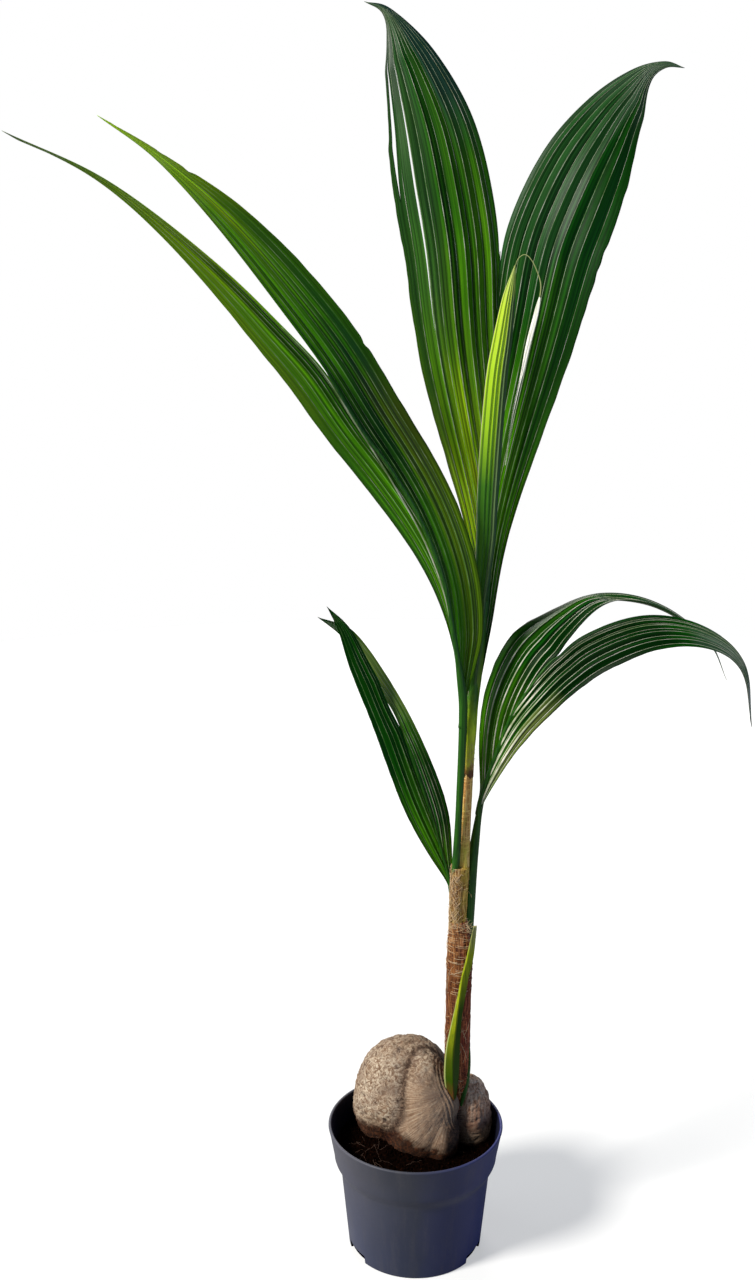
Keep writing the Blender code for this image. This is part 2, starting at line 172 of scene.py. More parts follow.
bpy.ops.mesh.primitive_circle_add(vertices=96, radius=FLOOR_RADIUS, fill_type="NGON")
floor = bpy.context.object
floor.name = "floor"
floor_finish = plain_finish("pale_floor", (FLOOR_GREY,) * 3, 0.9)
nodes = floor_finish.node_tree.nodes
pale = nodes["Principled BSDF"]
pale.inputs["Specular IOR Level"].default_value = 0
sight, glow, seen, dim, chosen = [
    nodes.new("ShaderNode" + kind)
    for kind in ("LightPath", "Emission", "MixShader", "BsdfDiffuse", "MixShader")]
glow.inputs["Color"].default_value = (*WHITE, 1)
seen.inputs[0].default_value = FLOOR_GLOW
dim.inputs["Color"].default_value = (FLOOR_DIM, FLOOR_DIM, FLOOR_DIM, 1)
join_all(floor_finish.node_tree,
         (pale.outputs[0], seen.inputs[1]), (glow.outputs[0], seen.inputs[2]),
         (sight.outputs["Is Camera Ray"], chosen.inputs[0]),
         (dim.outputs[0], chosen.inputs[1]), (seen.outputs[0], chosen.inputs[2]),
         (chosen.outputs[0], nodes["Material Output"].inputs["Surface"]))
floor.data.materials.append(floor_finish)
print("floor:", 2 * FLOOR_RADIUS, "m across")

# %% [markdown]
# ## Curves
# The whole plant is made of things that follow a route: stalks, blades, ribs and fibres. Blender's
# own curves could carry them, but every fold and width here depends on the distance along the
# route. So a route is a smooth curve through a few points in millimetres, worked out with numpy
# and measured by distance, and widths are smooth curves through a few stations.

# %% Routes
MM = 0.001


def unit(vectors):
    """Vectors scaled to a length of one."""
    return vectors / np.maximum(np.linalg.norm(vectors, axis=-1, keepdims=True), 1e-12)


def along_line(points):
    """Distances from the first point to each, along the line through them."""
    return np.concatenate([[0], np.cumsum(np.linalg.norm(np.diff(points, axis=0), axis=1))])


class Route:
    """A smooth curve through points given in millimetres, measured by distance in metres."""

    def __init__(self, points, steps=24, beyond=0.05):
        knots = np.array(points, float) * MM
        line = np.vstack([2 * knots[0] - knots[1], knots, 2 * knots[-1] - knots[-2]])
        t = (np.arange(steps) / steps)[:, None]
        spans = []
        for before, start, end, after in zip(line, line[1:], line[2:], line[3:]):
            spans.append(0.5 * (2 * start + (end - before) * t
                                + (2 * before - 5 * start + 4 * end - after) * t ** 2
                                + (3 * start - before - 3 * end + after) * t ** 3))
        course = np.vstack(spans + [knots[-1:]])
        distances = along_line(course)
        self.knots = distances[::steps]
        self.length = distances[-1]
        start, end = course[0] - course[1], course[-1] - course[-2]
        self.distances = np.concatenate([[-beyond], distances, [self.length + beyond]])
        self.course = np.vstack([course[0] + start / np.linalg.norm(start) * beyond, course,
                                 course[-1] + end / np.linalg.norm(end) * beyond])

    def at(self, distance):
        return np.stack([np.interp(distance, self.distances, column)
                         for column in self.course.T], -1)

    def direction(self, distance, reach=1 * MM):
        return unit(self.at(distance + reach) - self.at(distance - reach))


print("a straight route of 100 mm measures", round(Route(((0, 0, 0), (0, 0, 100))).length, 4), "m")

# %% Stations
def smooth_stations(stations, shares):
    """A smooth curve through (share, value) stations, read at the given shares."""
    places, values = np.array(stations, float).T
    slopes = []
    for k in range(len(places)):
        low, high = max(k - 1, 0), min(k + 1, len(places) - 1)
        slopes.append((values[high] - values[low]) / (places[high] - places[low]))
    k = np.clip(np.searchsorted(places, shares, "right") - 1, 0, len(places) - 2)
    span = places[k + 1] - places[k]
    t = (shares - places[k]) / span
    slopes = np.array(slopes)
    return (values[k] * (1 + 2 * t) * (1 - t) ** 2 + values[k + 1] * t * t * (3 - 2 * t)
            + span * (slopes[k] * t * (1 - t) ** 2 - slopes[k + 1] * t * t * (1 - t)))


def smooth_vectors(values, shares):
    """A smooth curve through vectors evenly spaced from 0 to 1, read at the given shares."""
    places = np.linspace(0, 1, len(values))
    shares = np.clip(shares, 0, 1)
    return np.stack([smooth_stations(list(zip(places, column)), shares)
                     for column in zip(*values)], -1)


print("halfway from 0 to 1:", smooth_stations(((0, 0), (1, 1)), 0.5))

# %% [markdown]
# ## Meshes
# Sweeping a bevel along a curve is the usual way to a stalk, but it keeps one section all along.
# Here a grid of points is worked out instead: a ring for every step of the route, with its own
# width, relief and lean. Lofts and blades carry a map named folds, which tells the finishes how
# far round and how far along a place is. Small tubes are gathered into one mesh, so that hundreds
# of fibres stay one piece. Each piece says which solids of the packed model it stands for.

# %% Pieces and grids
def new_piece(name, mesh, finishes, replaces=(), smooth=True):
    """An object for a mesh, riding on the plant, with its finishes and what it stands for."""
    piece = bpy.data.objects.new(name, mesh)
    scene.collection.objects.link(piece)
    for finish in finishes:
        mesh.materials.append(finish)
    if smooth:
        mesh.shade_smooth()
    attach(piece, "root")
    if replaces:
        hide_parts(*replaces)
    return piece


def grid_faces(rows, columns, closed=False):
    """The quads of a grid of points, row after row; closed joins the last column to the first."""
    r, c = np.mgrid[0:rows - 1, 0:columns if closed else columns - 1]
    ahead = (c + 1) % columns
    return np.stack([r * columns + c, r * columns + ahead,
                     (r + 1) * columns + ahead, (r + 1) * columns + c], -1).reshape(-1, 4)


def point_mesh(name, points, faces):
    """A mesh of points, in any array shape, and faces."""
    mesh = bpy.data.meshes.new(name)
    mesh.from_pydata(np.asarray(points, float).reshape(-1, 3).tolist(), [], faces)
    return mesh


def store_map(mesh, name, first, second):
    """Stores two values for every point as a map of the mesh."""
    place = np.stack(np.broadcast_arrays(first, second), -1).reshape(-1, 2)
    corners = np.empty(len(mesh.loops), int)
    mesh.loops.foreach_get("vertex_index", corners)
    mesh.uv_layers.new(name=name).data.foreach_set("uv", place[corners].ravel())


print("quads of a 3 by 3 grid:", len(grid_faces(3, 3)))

# %% Lofted forms
class Section:
    """A cross section through a few corners in half widths, its corners a little rounded."""

    def __init__(self, corners, columns=72, rounding=2):
        corners = np.array(corners, float)
        loop = np.vstack([corners, corners[:1]])
        lengths = along_line(loop)
        places = np.arange(columns) / columns * lengths[-1]
        self.columns = columns
        self.line = np.stack([np.interp(places, lengths, loop[:, k]) for k in range(2)], -1)
        for _ in range(rounding):
            self.line = (self.line * 2 + np.roll(self.line, 1, 0) + np.roll(self.line, -1, 0)) / 4


def lofted_mesh(name, route, widths, section, rows, relief=None, lean=None):
    """A closed form along a route. The section gives (across, towards the front) in half widths,
    relief adds metres at (turn, distance), and lean shears the front sideways on the way."""
    distances = np.linspace(0, route.length, rows)
    shares = distances / route.length
    centre, tangent = route.at(distances), route.direction(distances, 5 * MM)
    across = unit(np.cross(np.tile([0, 1.0, 0], (rows, 1)), tangent))
    front = np.cross(across, tangent)
    half = smooth_stations(widths, shares) * MM
    columns = section.columns
    u, v = np.broadcast_to(section.line.T[:, None], (2, rows, columns)).copy()
    if lean is not None:
        u += smooth_stations(lean, shares)[:, None] * np.maximum(v, 0)
    offset = across[:, None] * u[..., None] + front[:, None] * v[..., None]
    offset *= half[:, None, None]
    turn = np.arange(columns) / columns
    if relief is not None:
        offset += unit(offset) * relief(turn[None, :], distances[:, None])[..., None]
    caps = [list(range(columns))[::-1], list(range((rows - 1) * columns, rows * columns))]
    mesh = point_mesh(name, centre[:, None] + offset,
                      grid_faces(rows, columns, closed=True).tolist() + caps)
    store_map(mesh, "folds", turn[None, :], shares[:, None])
    return mesh


square = Section([(-1, -1), (1, -1), (1, 1), (-1, 1)])
print("a rounded square reaches", round(abs(square.line).max(), 2), "half widths")

# %% Bundles of tubes
class Bundle:
    """Many small closed tubes gathered into one mesh."""

    def __init__(self):
        self.points, self.faces, self.count = [], [], 0

    def tube(self, course, radii, sides=5, across=None, flat=1.0):
        """A closed tube along a course, flattened across a direction where flat is over 1."""
        course = np.asarray(course, float)
        rows = len(course)
        tangent = unit(np.gradient(course, axis=0))
        if across is None:
            across = np.tile([0.31, 0.52, 0.79], (rows, 1))
        first = unit(np.cross(tangent, across))
        second = np.cross(first, tangent)
        turn = np.arange(sides) * 2 * math.pi / sides
        radii, flat = (np.broadcast_to(np.asarray(value, float), rows)[:, None, None]
                       for value in (radii, flat))
        ring = (first[:, None] * np.cos(turn)[None, :, None] * flat
                + second[:, None] * np.sin(turn)[None, :, None])
        last = self.count + (rows - 1) * sides
        self.points.append((course[:, None] + ring * radii).reshape(-1, 3))
        self.faces += (grid_faces(rows, sides, closed=True) + self.count).tolist()
        self.faces.append(list(range(self.count + sides - 1, self.count - 1, -1)))
        self.faces.append(list(range(last, last + sides)))
        self.count += rows * sides

    def mesh(self, name):
        return point_mesh(name, np.vstack(self.points), self.faces)


trial = Bundle()
trial.tube([(0, 0, 0), (0, 0, 1), (0, 0, 2)], 0.1)
print("a tube of three rings has", trial.count, "points")

# %% [markdown]
# ## Finishes
# A finish could be painted as an image, but a leaf seen close up needs a very large one. These
# finishes are worked out from noise and a few colours instead, so they stay sharp and have no
# seam. Wiring nodes by hand takes several lines each, so a small helper adds a node, sets or
# links its sockets and hands back its output.

# %% Adding and joining nodes
class NodeHelper:
    """Short ways to add and join shader nodes of one material."""

    def __init__(self, finish):
        self.tree = finish.node_tree
        self.shader = self.tree.nodes["Principled BSDF"]

    def node(self, kind, **settings):
        made = self.tree.nodes.new("ShaderNode" + kind)
        for name, value in settings.items():
            setattr(made, name, value)
        return made

    def join(self, output, socket):
        self.tree.links.new(output, socket)

    def feed(self, socket, value):
        """Sets a socket, or links it where the value is another node's output."""
        if isinstance(value, bpy.types.NodeSocket):
            self.join(value, socket)
        elif isinstance(value, tuple) and len(value) == 3 and socket.type == "RGBA":
            socket.default_value = (*value, 1)
        else:
            socket.default_value = value

    def place(self, kind="Object", stretch=(1, 1, 1)):
        """Coordinates of the piece, or of one of its maps, stretched."""
        if kind == "Object":
            source = self.node("TexCoord").outputs["Object"]
        else:
            source = self.node("UVMap", uv_map=kind).outputs["UV"]
        mapping = self.node("Mapping")
        mapping.inputs["Scale"].default_value = stretch
        self.join(source, mapping.inputs["Vector"])
        return mapping.outputs["Vector"]

    def part(self, vector, axis):
        split = self.node("SeparateXYZ")
        self.join(vector, split.inputs[0])
        return split.outputs[axis]

    def math(self, operation, first, second=0.0):
        made = self.node("Math", operation=operation)
        self.feed(made.inputs[0], first)
        self.feed(made.inputs[1], second)
        return made.outputs[0]

    def product(self, first, *others):
        for other in others:
            first = self.math("MULTIPLY", first, other)
        return first


print("node steps:", [name for name in vars(NodeHelper) if not name.startswith("_")])

# %% Patterns
class Pattern(NodeHelper):
    """Noise, ranges, colour bands and mixes, and the joints that finish a material."""

    def noise(self, vector, scale, detail=4, roughness=0.6, distortion=0.0):
        made = self.node("TexNoise")
        made.inputs["Distortion"].default_value = distortion
        self.join(vector, made.inputs["Vector"])
        made.inputs["Scale"].default_value = scale
        made.inputs["Detail"].default_value = detail
        made.inputs["Roughness"].default_value = roughness
        return made.outputs["Fac"]

    def grain(self, stretch, detail=4, roughness=0.6, kind="Object"):
        """Noise in waves a metre along X, Y and Z, or in waves a unit of a map."""
        return self.noise(self.place(kind, stretch), 1.0, detail, roughness)

    def range(self, value, low, high, out_low=0.0, out_high=1.0):
        made = self.node("MapRange")
        for name, setting in (("Value", value), ("From Min", low), ("From Max", high),
                              ("To Min", out_low), ("To Max", out_high)):
            self.feed(made.inputs[name], setting)
        return made.outputs[0]

    def drifted(self, value, cloud, reach):
        """A value moved up and down by a cloud of noise, by a reach at most."""
        return self.math("ADD", value, self.range(cloud, 0.3, 0.7, -reach, reach))

    def ramp(self, value, *stops):
        """Colours along a value: stops are (place, colour)."""
        made = self.node("ValToRGB")
        band = made.color_ramp
        while len(band.elements) < len(stops):
            band.elements.new(0.5)
        for element, (place, colour) in zip(band.elements, stops):
            element.position = place
            element.color = (*colour, 1)
        self.feed(made.inputs[0], value)
        return made.outputs[0]

    def mix(self, share, first, second, blend="MIX"):
        made = self.node("Mix", data_type="RGBA", blend_type=blend)
        self.feed(made.inputs["Factor"], share)
        self.feed(made.inputs[6], first)
        self.feed(made.inputs[7], second)
        return made.outputs[2]

    def tint(self, share, colour, factor):
        """A colour multiplied by a factor, over a share of the surface."""
        return self.mix(share, colour, self.mix(1.0, colour, factor, "MULTIPLY"))

    def finish(self, colour, height=None, depth=0.0, strength=1.0, gloss=None):
        """Joins the colour, a bump of a depth in metres, and sets the gloss."""
        self.join(colour, self.shader.inputs["Base Color"])
        if gloss is not None:
            self.shader.inputs["Specular IOR Level"].default_value = gloss
        if height is not None:
            made = self.node("Bump")
            made.inputs["Distance"].default_value = depth
            made.inputs["Strength"].default_value = strength
            self.join(height, made.inputs["Height"])
            self.join(made.outputs["Normal"], self.shader.inputs["Normal"])


print("pattern steps:", [name for name in vars(Pattern) if not name.startswith("_")])

# %% [markdown]
# ## Leaf finish
# A palm leaf is glossy above and lets light through, so the finish mixes a Principled shader
# with a Translucent one; subsurface scattering could do it too, but it is slow and blurs the
# fine veins. The colours run along the blade, from a light foot over deep green to a greyish
# tip, and differ from fold to fold as real leaflets do. Some of it is painted light and shade:
# the light foot of some lobes is painted light, the greyish tip is a waxy bloom with a painted
# sheen of the sky, and a strip beside each rib and the outer margin are painted shade. The
# pattern follows the folds map that every blade carries: across it counts folds from the outer
# margin, and along it goes from 0 at the foot to 1 at the tip.

# %% Strips and veins of a leaf
def lighter_strips(pattern, across, colour, lit):
    """Half folds that are lighter by chance, in patches along the blade."""
    half_fold = pattern.math("FLOOR", pattern.math("MULTIPLY", across, 2.0))
    dealt = pattern.node("TexWhiteNoise", noise_dimensions="1D")
    pattern.join(half_fold, dealt.inputs["W"])
    patches = pattern.grain((1.7, 3, 1), 3, kind="folds")
    light = pattern.product(pattern.range(dealt.outputs["Value"], 0.1, 1.0),
                            pattern.range(patches, 0.38, 0.62))
    return pattern.tint(light, colour, lit)


def vein_shade(pattern, across, veins, groove):
    """A grey that darkens and lightens the leaf in broad stripes, lines and fine veins. As painted
    shade, it also darkens the outer margin and the strip beside each rib.
    """
    stripes = pattern.grain((5.5, 1.3, 1), 1, 0.5, "folds")
    lines = pattern.grain((12, 1.2, 1), 3, 0.65, "folds")
    halves = pattern.math("FRACT", pattern.math("MULTIPLY", across, 2.0))
    # The outer margin and the strip beside each rib are darkened here as painted shade.
    shade = pattern.product(
        pattern.range(stripes, 0.36, 0.64, 0.55, 1.45), pattern.range(lines, 0.38, 0.62, 0.5, 1.5),
        pattern.range(veins, 0.3, 0.7, 0.65, 1.35), pattern.range(across, 0, 0.8, 0.8, 1.0),
        pattern.range(halves, 0.0, 0.3, groove, 1.05))
    grey = pattern.node("CombineColor")
    for channel in grey.inputs:
        pattern.join(shade, channel)
    return grey.outputs[0]


print("each fold has two half folds, lit apart")

# %% Leaf finish
WARM_PATCH, SEEN_THROUGH = (3.2, 1.5, 1.0), (1.8, 2.0, 0.5)  # factors on the leaf's own colour


def leaf_finish(name, bands, glow=0.2, roughness=0.36, gloss=0.14, lit=(1.9, 1.6, 1.0),
                blotch=0.25, tints=(), groove=0.55):
    """A leaf colour from bands of (share along the blade, colour). lit tints its lighter strips,
    blotch warms its patches, and the last setting darkens the strip beside each rib as a painted
    shade. A tint is (first fold, last fold, start, end, colour, strength), and glow is the share
    of light let through."""
    finish = plain_finish(name, bands[1][1], roughness)
    pattern = Pattern(finish)
    across = pattern.part(pattern.place("folds"), 0)
    along = pattern.part(pattern.place("folds"), 1)
    drift = pattern.grain((0.6, 3, 1), 3, kind="folds")
    colour = pattern.ramp(pattern.drifted(along, drift, 0.09), *bands)
    colour = lighter_strips(pattern, across, colour, lit)
    blotches = pattern.grain((2.6, 9, 1), kind="folds")
    colour = pattern.tint(pattern.range(blotches, 0.50, 0.64, 0, blotch), colour, WARM_PATCH)
    # Most tints are painted light and painted shade on some folds; one is a painted reflection of
    # the sky.
    for first, last, start, end, tint, strength in tints:
        share = pattern.product(pattern.range(across, first - 0.15, first + 0.15),
                                pattern.range(across, last + 0.15, last - 0.15, 0, strength),
                                pattern.range(along, start - 0.05, start + 0.05),
                                pattern.range(along, end + 0.05, end - 0.05))
        colour = pattern.mix(share, colour, tint)
    veins = pattern.grain((40, 6.0, 1), 3, 0.75, "folds")
    colour = pattern.mix(1.0, colour, vein_shade(pattern, across, veins, groove), "MULTIPLY")
    pattern.finish(colour, veins, 0.2 * MM, 0.6, gloss)
    through = pattern.node("BsdfTranslucent")
    pattern.join(pattern.mix(1.0, colour, SEEN_THROUGH, "MULTIPLY"), through.inputs["Color"])
    blend = pattern.node("MixShader")
    blend.inputs[0].default_value = glow
    join_all(pattern.tree, (pattern.shader.outputs[0], blend.inputs[1]),
             (through.outputs[0], blend.inputs[2]),
             (blend.outputs[0], pattern.tree.nodes["Material Output"].inputs["Surface"]))
    return finish


print("light through a leaf is tinted by", SEEN_THROUGH)

# %% [markdown]
# ## Fronds
# Each frond of a young coconut palm is one pleated blade that splits in two lobes past the end
# of its midrib. A blade could be modelled by hand from a subdivided plane, fold by fold, but
# eight lobes with up to six folds are quicker and cleaner by rule. A frond is given as the route
# of its stalk and midrib with three radii, and each lobe by its route to the tip, the directions
# that it spreads in, and its widths. The same few values shaped the solids, so the fine blades
# lie where the solids lie. Routes and widths are in millimetres.

# %% Front frond
# radii are at the stalk's foot, the blade's start and the midrib's end; bulge is the side that a
# lobe bends towards. A notch is (share along, depth), a slit (fold, start, end, width in folds),
# and a gap (start, end, millimetres) parts two lobes. Widths are (share along, millimetres).
FRONDS = {}
FRONDS["frond_front"] = dict(
    stalk=((40, -10, 445.5), (41, -11, 540), (42, -12, 600)),
    midrib=((43.5, -13, 639), (33, -18, 712), (21, -24, 771), (-2, -32, 831),
            (-32, -42, 883), (-58, -50, 920), (-89, -62, 975)),
    radii=(3.8, 3.0, 1.2), bulge=-1,
    lobes=dict(
        left=dict(
            tip_route=((-118, -70, 1006), (-179, -85, 1069), (-269, -110, 1142),
                       (-356, -130, 1185)),
            spread=((-0.9, 0.3, -0.4), (-0.77, 0.3, -0.6), (-0.5, 0.3, -0.8)),
            widths=((0.12, 5), (0.2, 15), (0.3, 28), (0.4, 33), (0.5, 38), (0.6, 32), (0.7, 22),
                    (0.8, 11), (0.9, 4), (1, 0))),
        right=dict(
            tip_route=((-123, -70, 1023), (-180, -85, 1101), (-231, -100, 1160),
                       (-278, -115, 1197)),
            spread=((0.9, 0.3, 0.1), (0.8, 0.3, 0.45), (0.6, 0.3, 0.7)),
            notches=((0.55, 0.035), (0.87, 0.10), (0.91, 0.08)),
            widths=((0, 4), (0.05, 18), (0.1, 33), (0.2, 38), (0.4, 43), (0.5, 46), (0.6, 45),
                    (0.7, 40), (0.8, 28), (0.9, 9), (1, 0)))))
print("front frond:", list(FRONDS["frond_front"]["lobes"]))

# %% Back frond
FRONDS["frond_back"] = dict(
    stalk=((55, 4.5, 585.3), (56, 6, 610)),
    midrib=((57, 8, 640), (62, 11, 684), (68, 15, 735), (72, 28, 834), (74, 42, 931),
            (75, 53, 1007), (77, 65, 1072)),
    radii=(3.2, 2.6, 1.2), bulge=1,
    lobes=dict(
        left=dict(
            tip_route=((70, 75, 1123), (52, 88, 1192), (14, 100, 1254), (-28, 110, 1293),
                       (-54, 112, 1300)),
            spread=((-0.9, -0.3, 0.2), (-0.95, -0.3, 0), (-0.8, -0.3, -0.6)),
            slits=((0.28, 0.69, 0.93, 0.22), (0.95, 0.48, 0.95, 0.10)),
            widths=((0, 4), (0.1, 8), (0.2, 20), (0.3, 44), (0.4, 69), (0.5, 87), (0.6, 98),
                    (0.7, 100), (0.8, 88), (0.9, 54), (0.94, 28), (0.97, 9), (1, 0))),
        right=dict(
            tip_route=((88, 72, 1107), (118, 85, 1166), (160, 97, 1211), (202, 105, 1238),
                       (234, 110, 1246), (254, 110, 1240)),
            spread=((0.9, -0.3, -0.1), (0.95, -0.3, -0.2), (0.7, -0.3, -0.9)),
            widths=((0, 4), (0.1, 8), (0.2, 13), (0.3, 32), (0.4, 56), (0.5, 79), (0.6, 97),
                    (0.7, 98), (0.8, 86), (0.9, 49), (0.95, 15), (1, 0)))))
print("back frond:", list(FRONDS["frond_back"]["lobes"]))

# %% Arching frond
FRONDS["frond_arching"] = dict(
    stalk=((56.5, 7, 380.6), (58, 9, 420), (60, 9, 465), (62, 8, 506)),
    midrib=((68, 6, 536), (81, 4, 579), (94, 2, 616), (111, 0, 646), (129, 0, 672),
            (140, 0, 682)),
    radii=(3.2, 2.8, 1.2), bulge=1,
    lobes=dict(
        near=dict(
            tip_route=((163, -2, 704), (222, -5, 726), (281, -10, 716), (322, -15, 680),
                       (333, -18, 612)),
            spread=((0.6, -0.6, -0.4), (0.2, -0.7, -0.7), (-0.6, -0.6, -0.4)),
            widths=((0, 8), (0.1, 19), (0.2, 32), (0.3, 41), (0.4, 46), (0.5, 46), (0.6, 41),
                    (0.7, 29), (0.8, 15), (0.9, 7), (1, 0))),
        far=dict(
            tip_route=((152, 12, 697), (191, 26, 731), (246, 32, 723), (295, 34, 684),
                       (316, 34, 644)),
            spread=((-0.7, 0.5, 0.4), (-0.5, 0.6, 0.6), (0.1, 0.95, -0.11),
                    (0.15, 0.97, -0.17)),
            widths=((0, 5), (0.1, 22), (0.2, 37), (0.3, 49), (0.4, 55), (0.5, 48), (0.6, 42),
                    (0.7, 36), (0.8, 28), (0.9, 14), (1, 0)))))
print("arching frond:", list(FRONDS["frond_arching"]["lobes"]))

# %% Small frond
FRONDS["frond_small"] = dict(
    stalk=((39.5, 10.6, 380.6), (38, 12, 405)),
    midrib=((34, 12.5, 430), (23, 13, 472), (11, 14, 514), (-14, 18, 587)),
    radii=(2.4, 2.0, 1.0), bulge=1,
    lobes=dict(
        left=dict(
            tip_route=((-31, 18, 630), (-52, 16, 673), (-70, 14, 707), (-92, 12, 729)),
            spread=((-0.8, -0.3, -0.3), (-0.8, -0.3, -0.4), (-0.8, -0.3, -0.5)),
            gap=(0.53, 0.71, 2.2),
            widths=((0, 4), (0.1, 14), (0.2, 22), (0.3, 26.5), (0.5, 27), (0.7, 24), (0.8, 20),
                    (0.9, 13), (1, 0))),
        right=dict(
            tip_route=((-48, 30, 646), (-75, 35, 687), (-102, 35, 711)),
            spread=((0.8, 0.3, 0.3), (0.8, 0.3, 0.4), (0.8, 0.3, 0.5)),
            gap=(0.53, 0.71, 2.2),
            widths=((0, 4), (0.1, 11), (0.2, 18), (0.3, 19.5), (0.5, 16), (0.7, 16), (0.8, 15),
                    (0.9, 12), (1, 0)))))
print("small frond:", list(FRONDS["frond_small"]["lobes"]))

# %% [markdown]
# ## Blades
# A lobe is worked out row by row. Its inner edge follows the midrib and then its own route, its
# outer edge is a width away, and between the two the sheet is cupped and folded like a fan. The
# folds are counted from the outer margin, because the inner ones run out where the lobe narrows.
# Folds of equal width look like card, so widths and heights are dealt by chance from a seed.

# %% Helpers for lobes
CUP = 0.10  # how far a lobe bulges, as a share of its width
CELLS_PER_FOLD, BLADE_ROWS = 14, 230
FOOT = 0.07  # how far a blade runs down its stalk, as a share of its length
BLADE_THICKNESS, RIB_HEIGHT = 0.36 * MM, 0.36 * MM
SLIT_REACH = 0.4  # how far from a slit its banks still move, in folds


def rib_radii(radii, distances, blade_start, split):
    """Radii of a stalk and midrib at distances along it."""
    foot, middle, end = radii
    past_start = np.clip((distances - blade_start) / (split - blade_start), 0, 1)
    return np.where(distances < blade_start,
                    foot + (middle - foot) * distances / blade_start,
                    middle + (end - middle) * past_start) * MM


def smooth_rows(points, reach):
    """Points averaged with their neighbours over a reach in rows; the ends stay."""
    kernel = np.exp(-0.5 * (np.arange(-3 * reach, 3 * reach + 1) / reach) ** 2)
    kernel /= kernel.sum()
    before = 2 * points[0] - points[1:3 * reach + 1][::-1]
    after = 2 * points[-1] - points[-3 * reach - 1:-1][::-1]
    padded = np.vstack([before, points, after])
    return np.stack([np.convolve(column, kernel, "valid") for column in padded.T], -1)


def swell(shares, start, end):
    """0 up to a start, up to 1 halfway and back to 0 at an end."""
    return np.sin(np.clip((shares - start) / (end - start), 0, 1) * math.pi)


print("blade rows:", BLADE_ROWS, "cells a fold:", CELLS_PER_FOLD)

# %% Edges of a lobe
class LobeEdges:
    """The inner edge, the way out to the outer edge and the face's direction, row by row."""

    def __init__(self, frond, lobe):
        knots = len(frond["stalk"])
        route = Route(frond["stalk"] + frond["midrib"] + lobe["tip_route"])
        start = route.knots[knots]
        rib_end, split = route.knots[knots + len(frond["midrib"]) - 2:][:2]
        first = lobe["widths"][0][0]
        self.shares = np.linspace(first - FOOT, 1, BLADE_ROWS)
        distance = start + self.shares * (route.length - start)
        middle = route.at(distance)
        tangent = route.direction(distance, 25 * MM)
        spread = smooth_vectors(lobe["spread"], self.shares)
        spread = unit(spread - tangent * np.sum(spread * tangent, -1, keepdims=True))
        self.face = np.cross(tangent, spread)
        self.face[self.face[:, 1] > 0] *= -1
        self.face = smooth_rows(self.face, 6)
        past_rib = np.clip((distance - rib_end) / (split - rib_end), 0, 1)
        root = rib_radii(frond["radii"], distance, start, split) * 0.5 * (1 - past_rib)
        foot_width = 0.5 * rib_radii(frond["radii"], start, start, split) / MM
        stations = ((first - FOOT, foot_width),) + lobe["widths"]
        thin = np.interp(self.shares, [first - FOOT, first, 0.98, 1],
                         [0.2 * MM, 2.5 * MM, 2 * MM, 0.3 * MM])
        width = np.maximum(smooth_stations(stations, self.shares) * MM - root, thin)
        inner, outer = middle + spread * root[:, None], middle + spread * (root + width)[:, None]
        self.inner = self.eased(inner, 7, [0.2, 0.55, 0.75, 0.9])
        self.outward = self.eased(outer, 9, [0.0, 0.15, 0.75, 0.9]) - self.inner

    def eased(self, edge, reach, shares):
        """An edge that is smoothed between the middle two of four shares."""
        free = np.interp(self.shares, shares, [0, 1, 1, 0])[:, None]
        return edge * (1 - free) + smooth_rows(edge, reach) * free

    def part_lobes(self, start, end, reach):
        """Draws the inner edge back, so that a gap opens between two lobes."""
        retreat = unit(self.outward) * (reach * MM * swell(self.shares, start, end))[:, None]
        self.inner, self.outward = self.inner + retreat, self.outward - retreat


trial = LobeEdges(FRONDS["frond_small"], FRONDS["frond_small"]["lobes"]["left"])
print("a small lobe reaches", round(np.linalg.norm(trial.outward, axis=1).max() * 1000), "mm out")

# %% Folds of a lobe
FOLD_DEPTH = 0.11  # how far a ridge stands out, as a share of the width of its fold


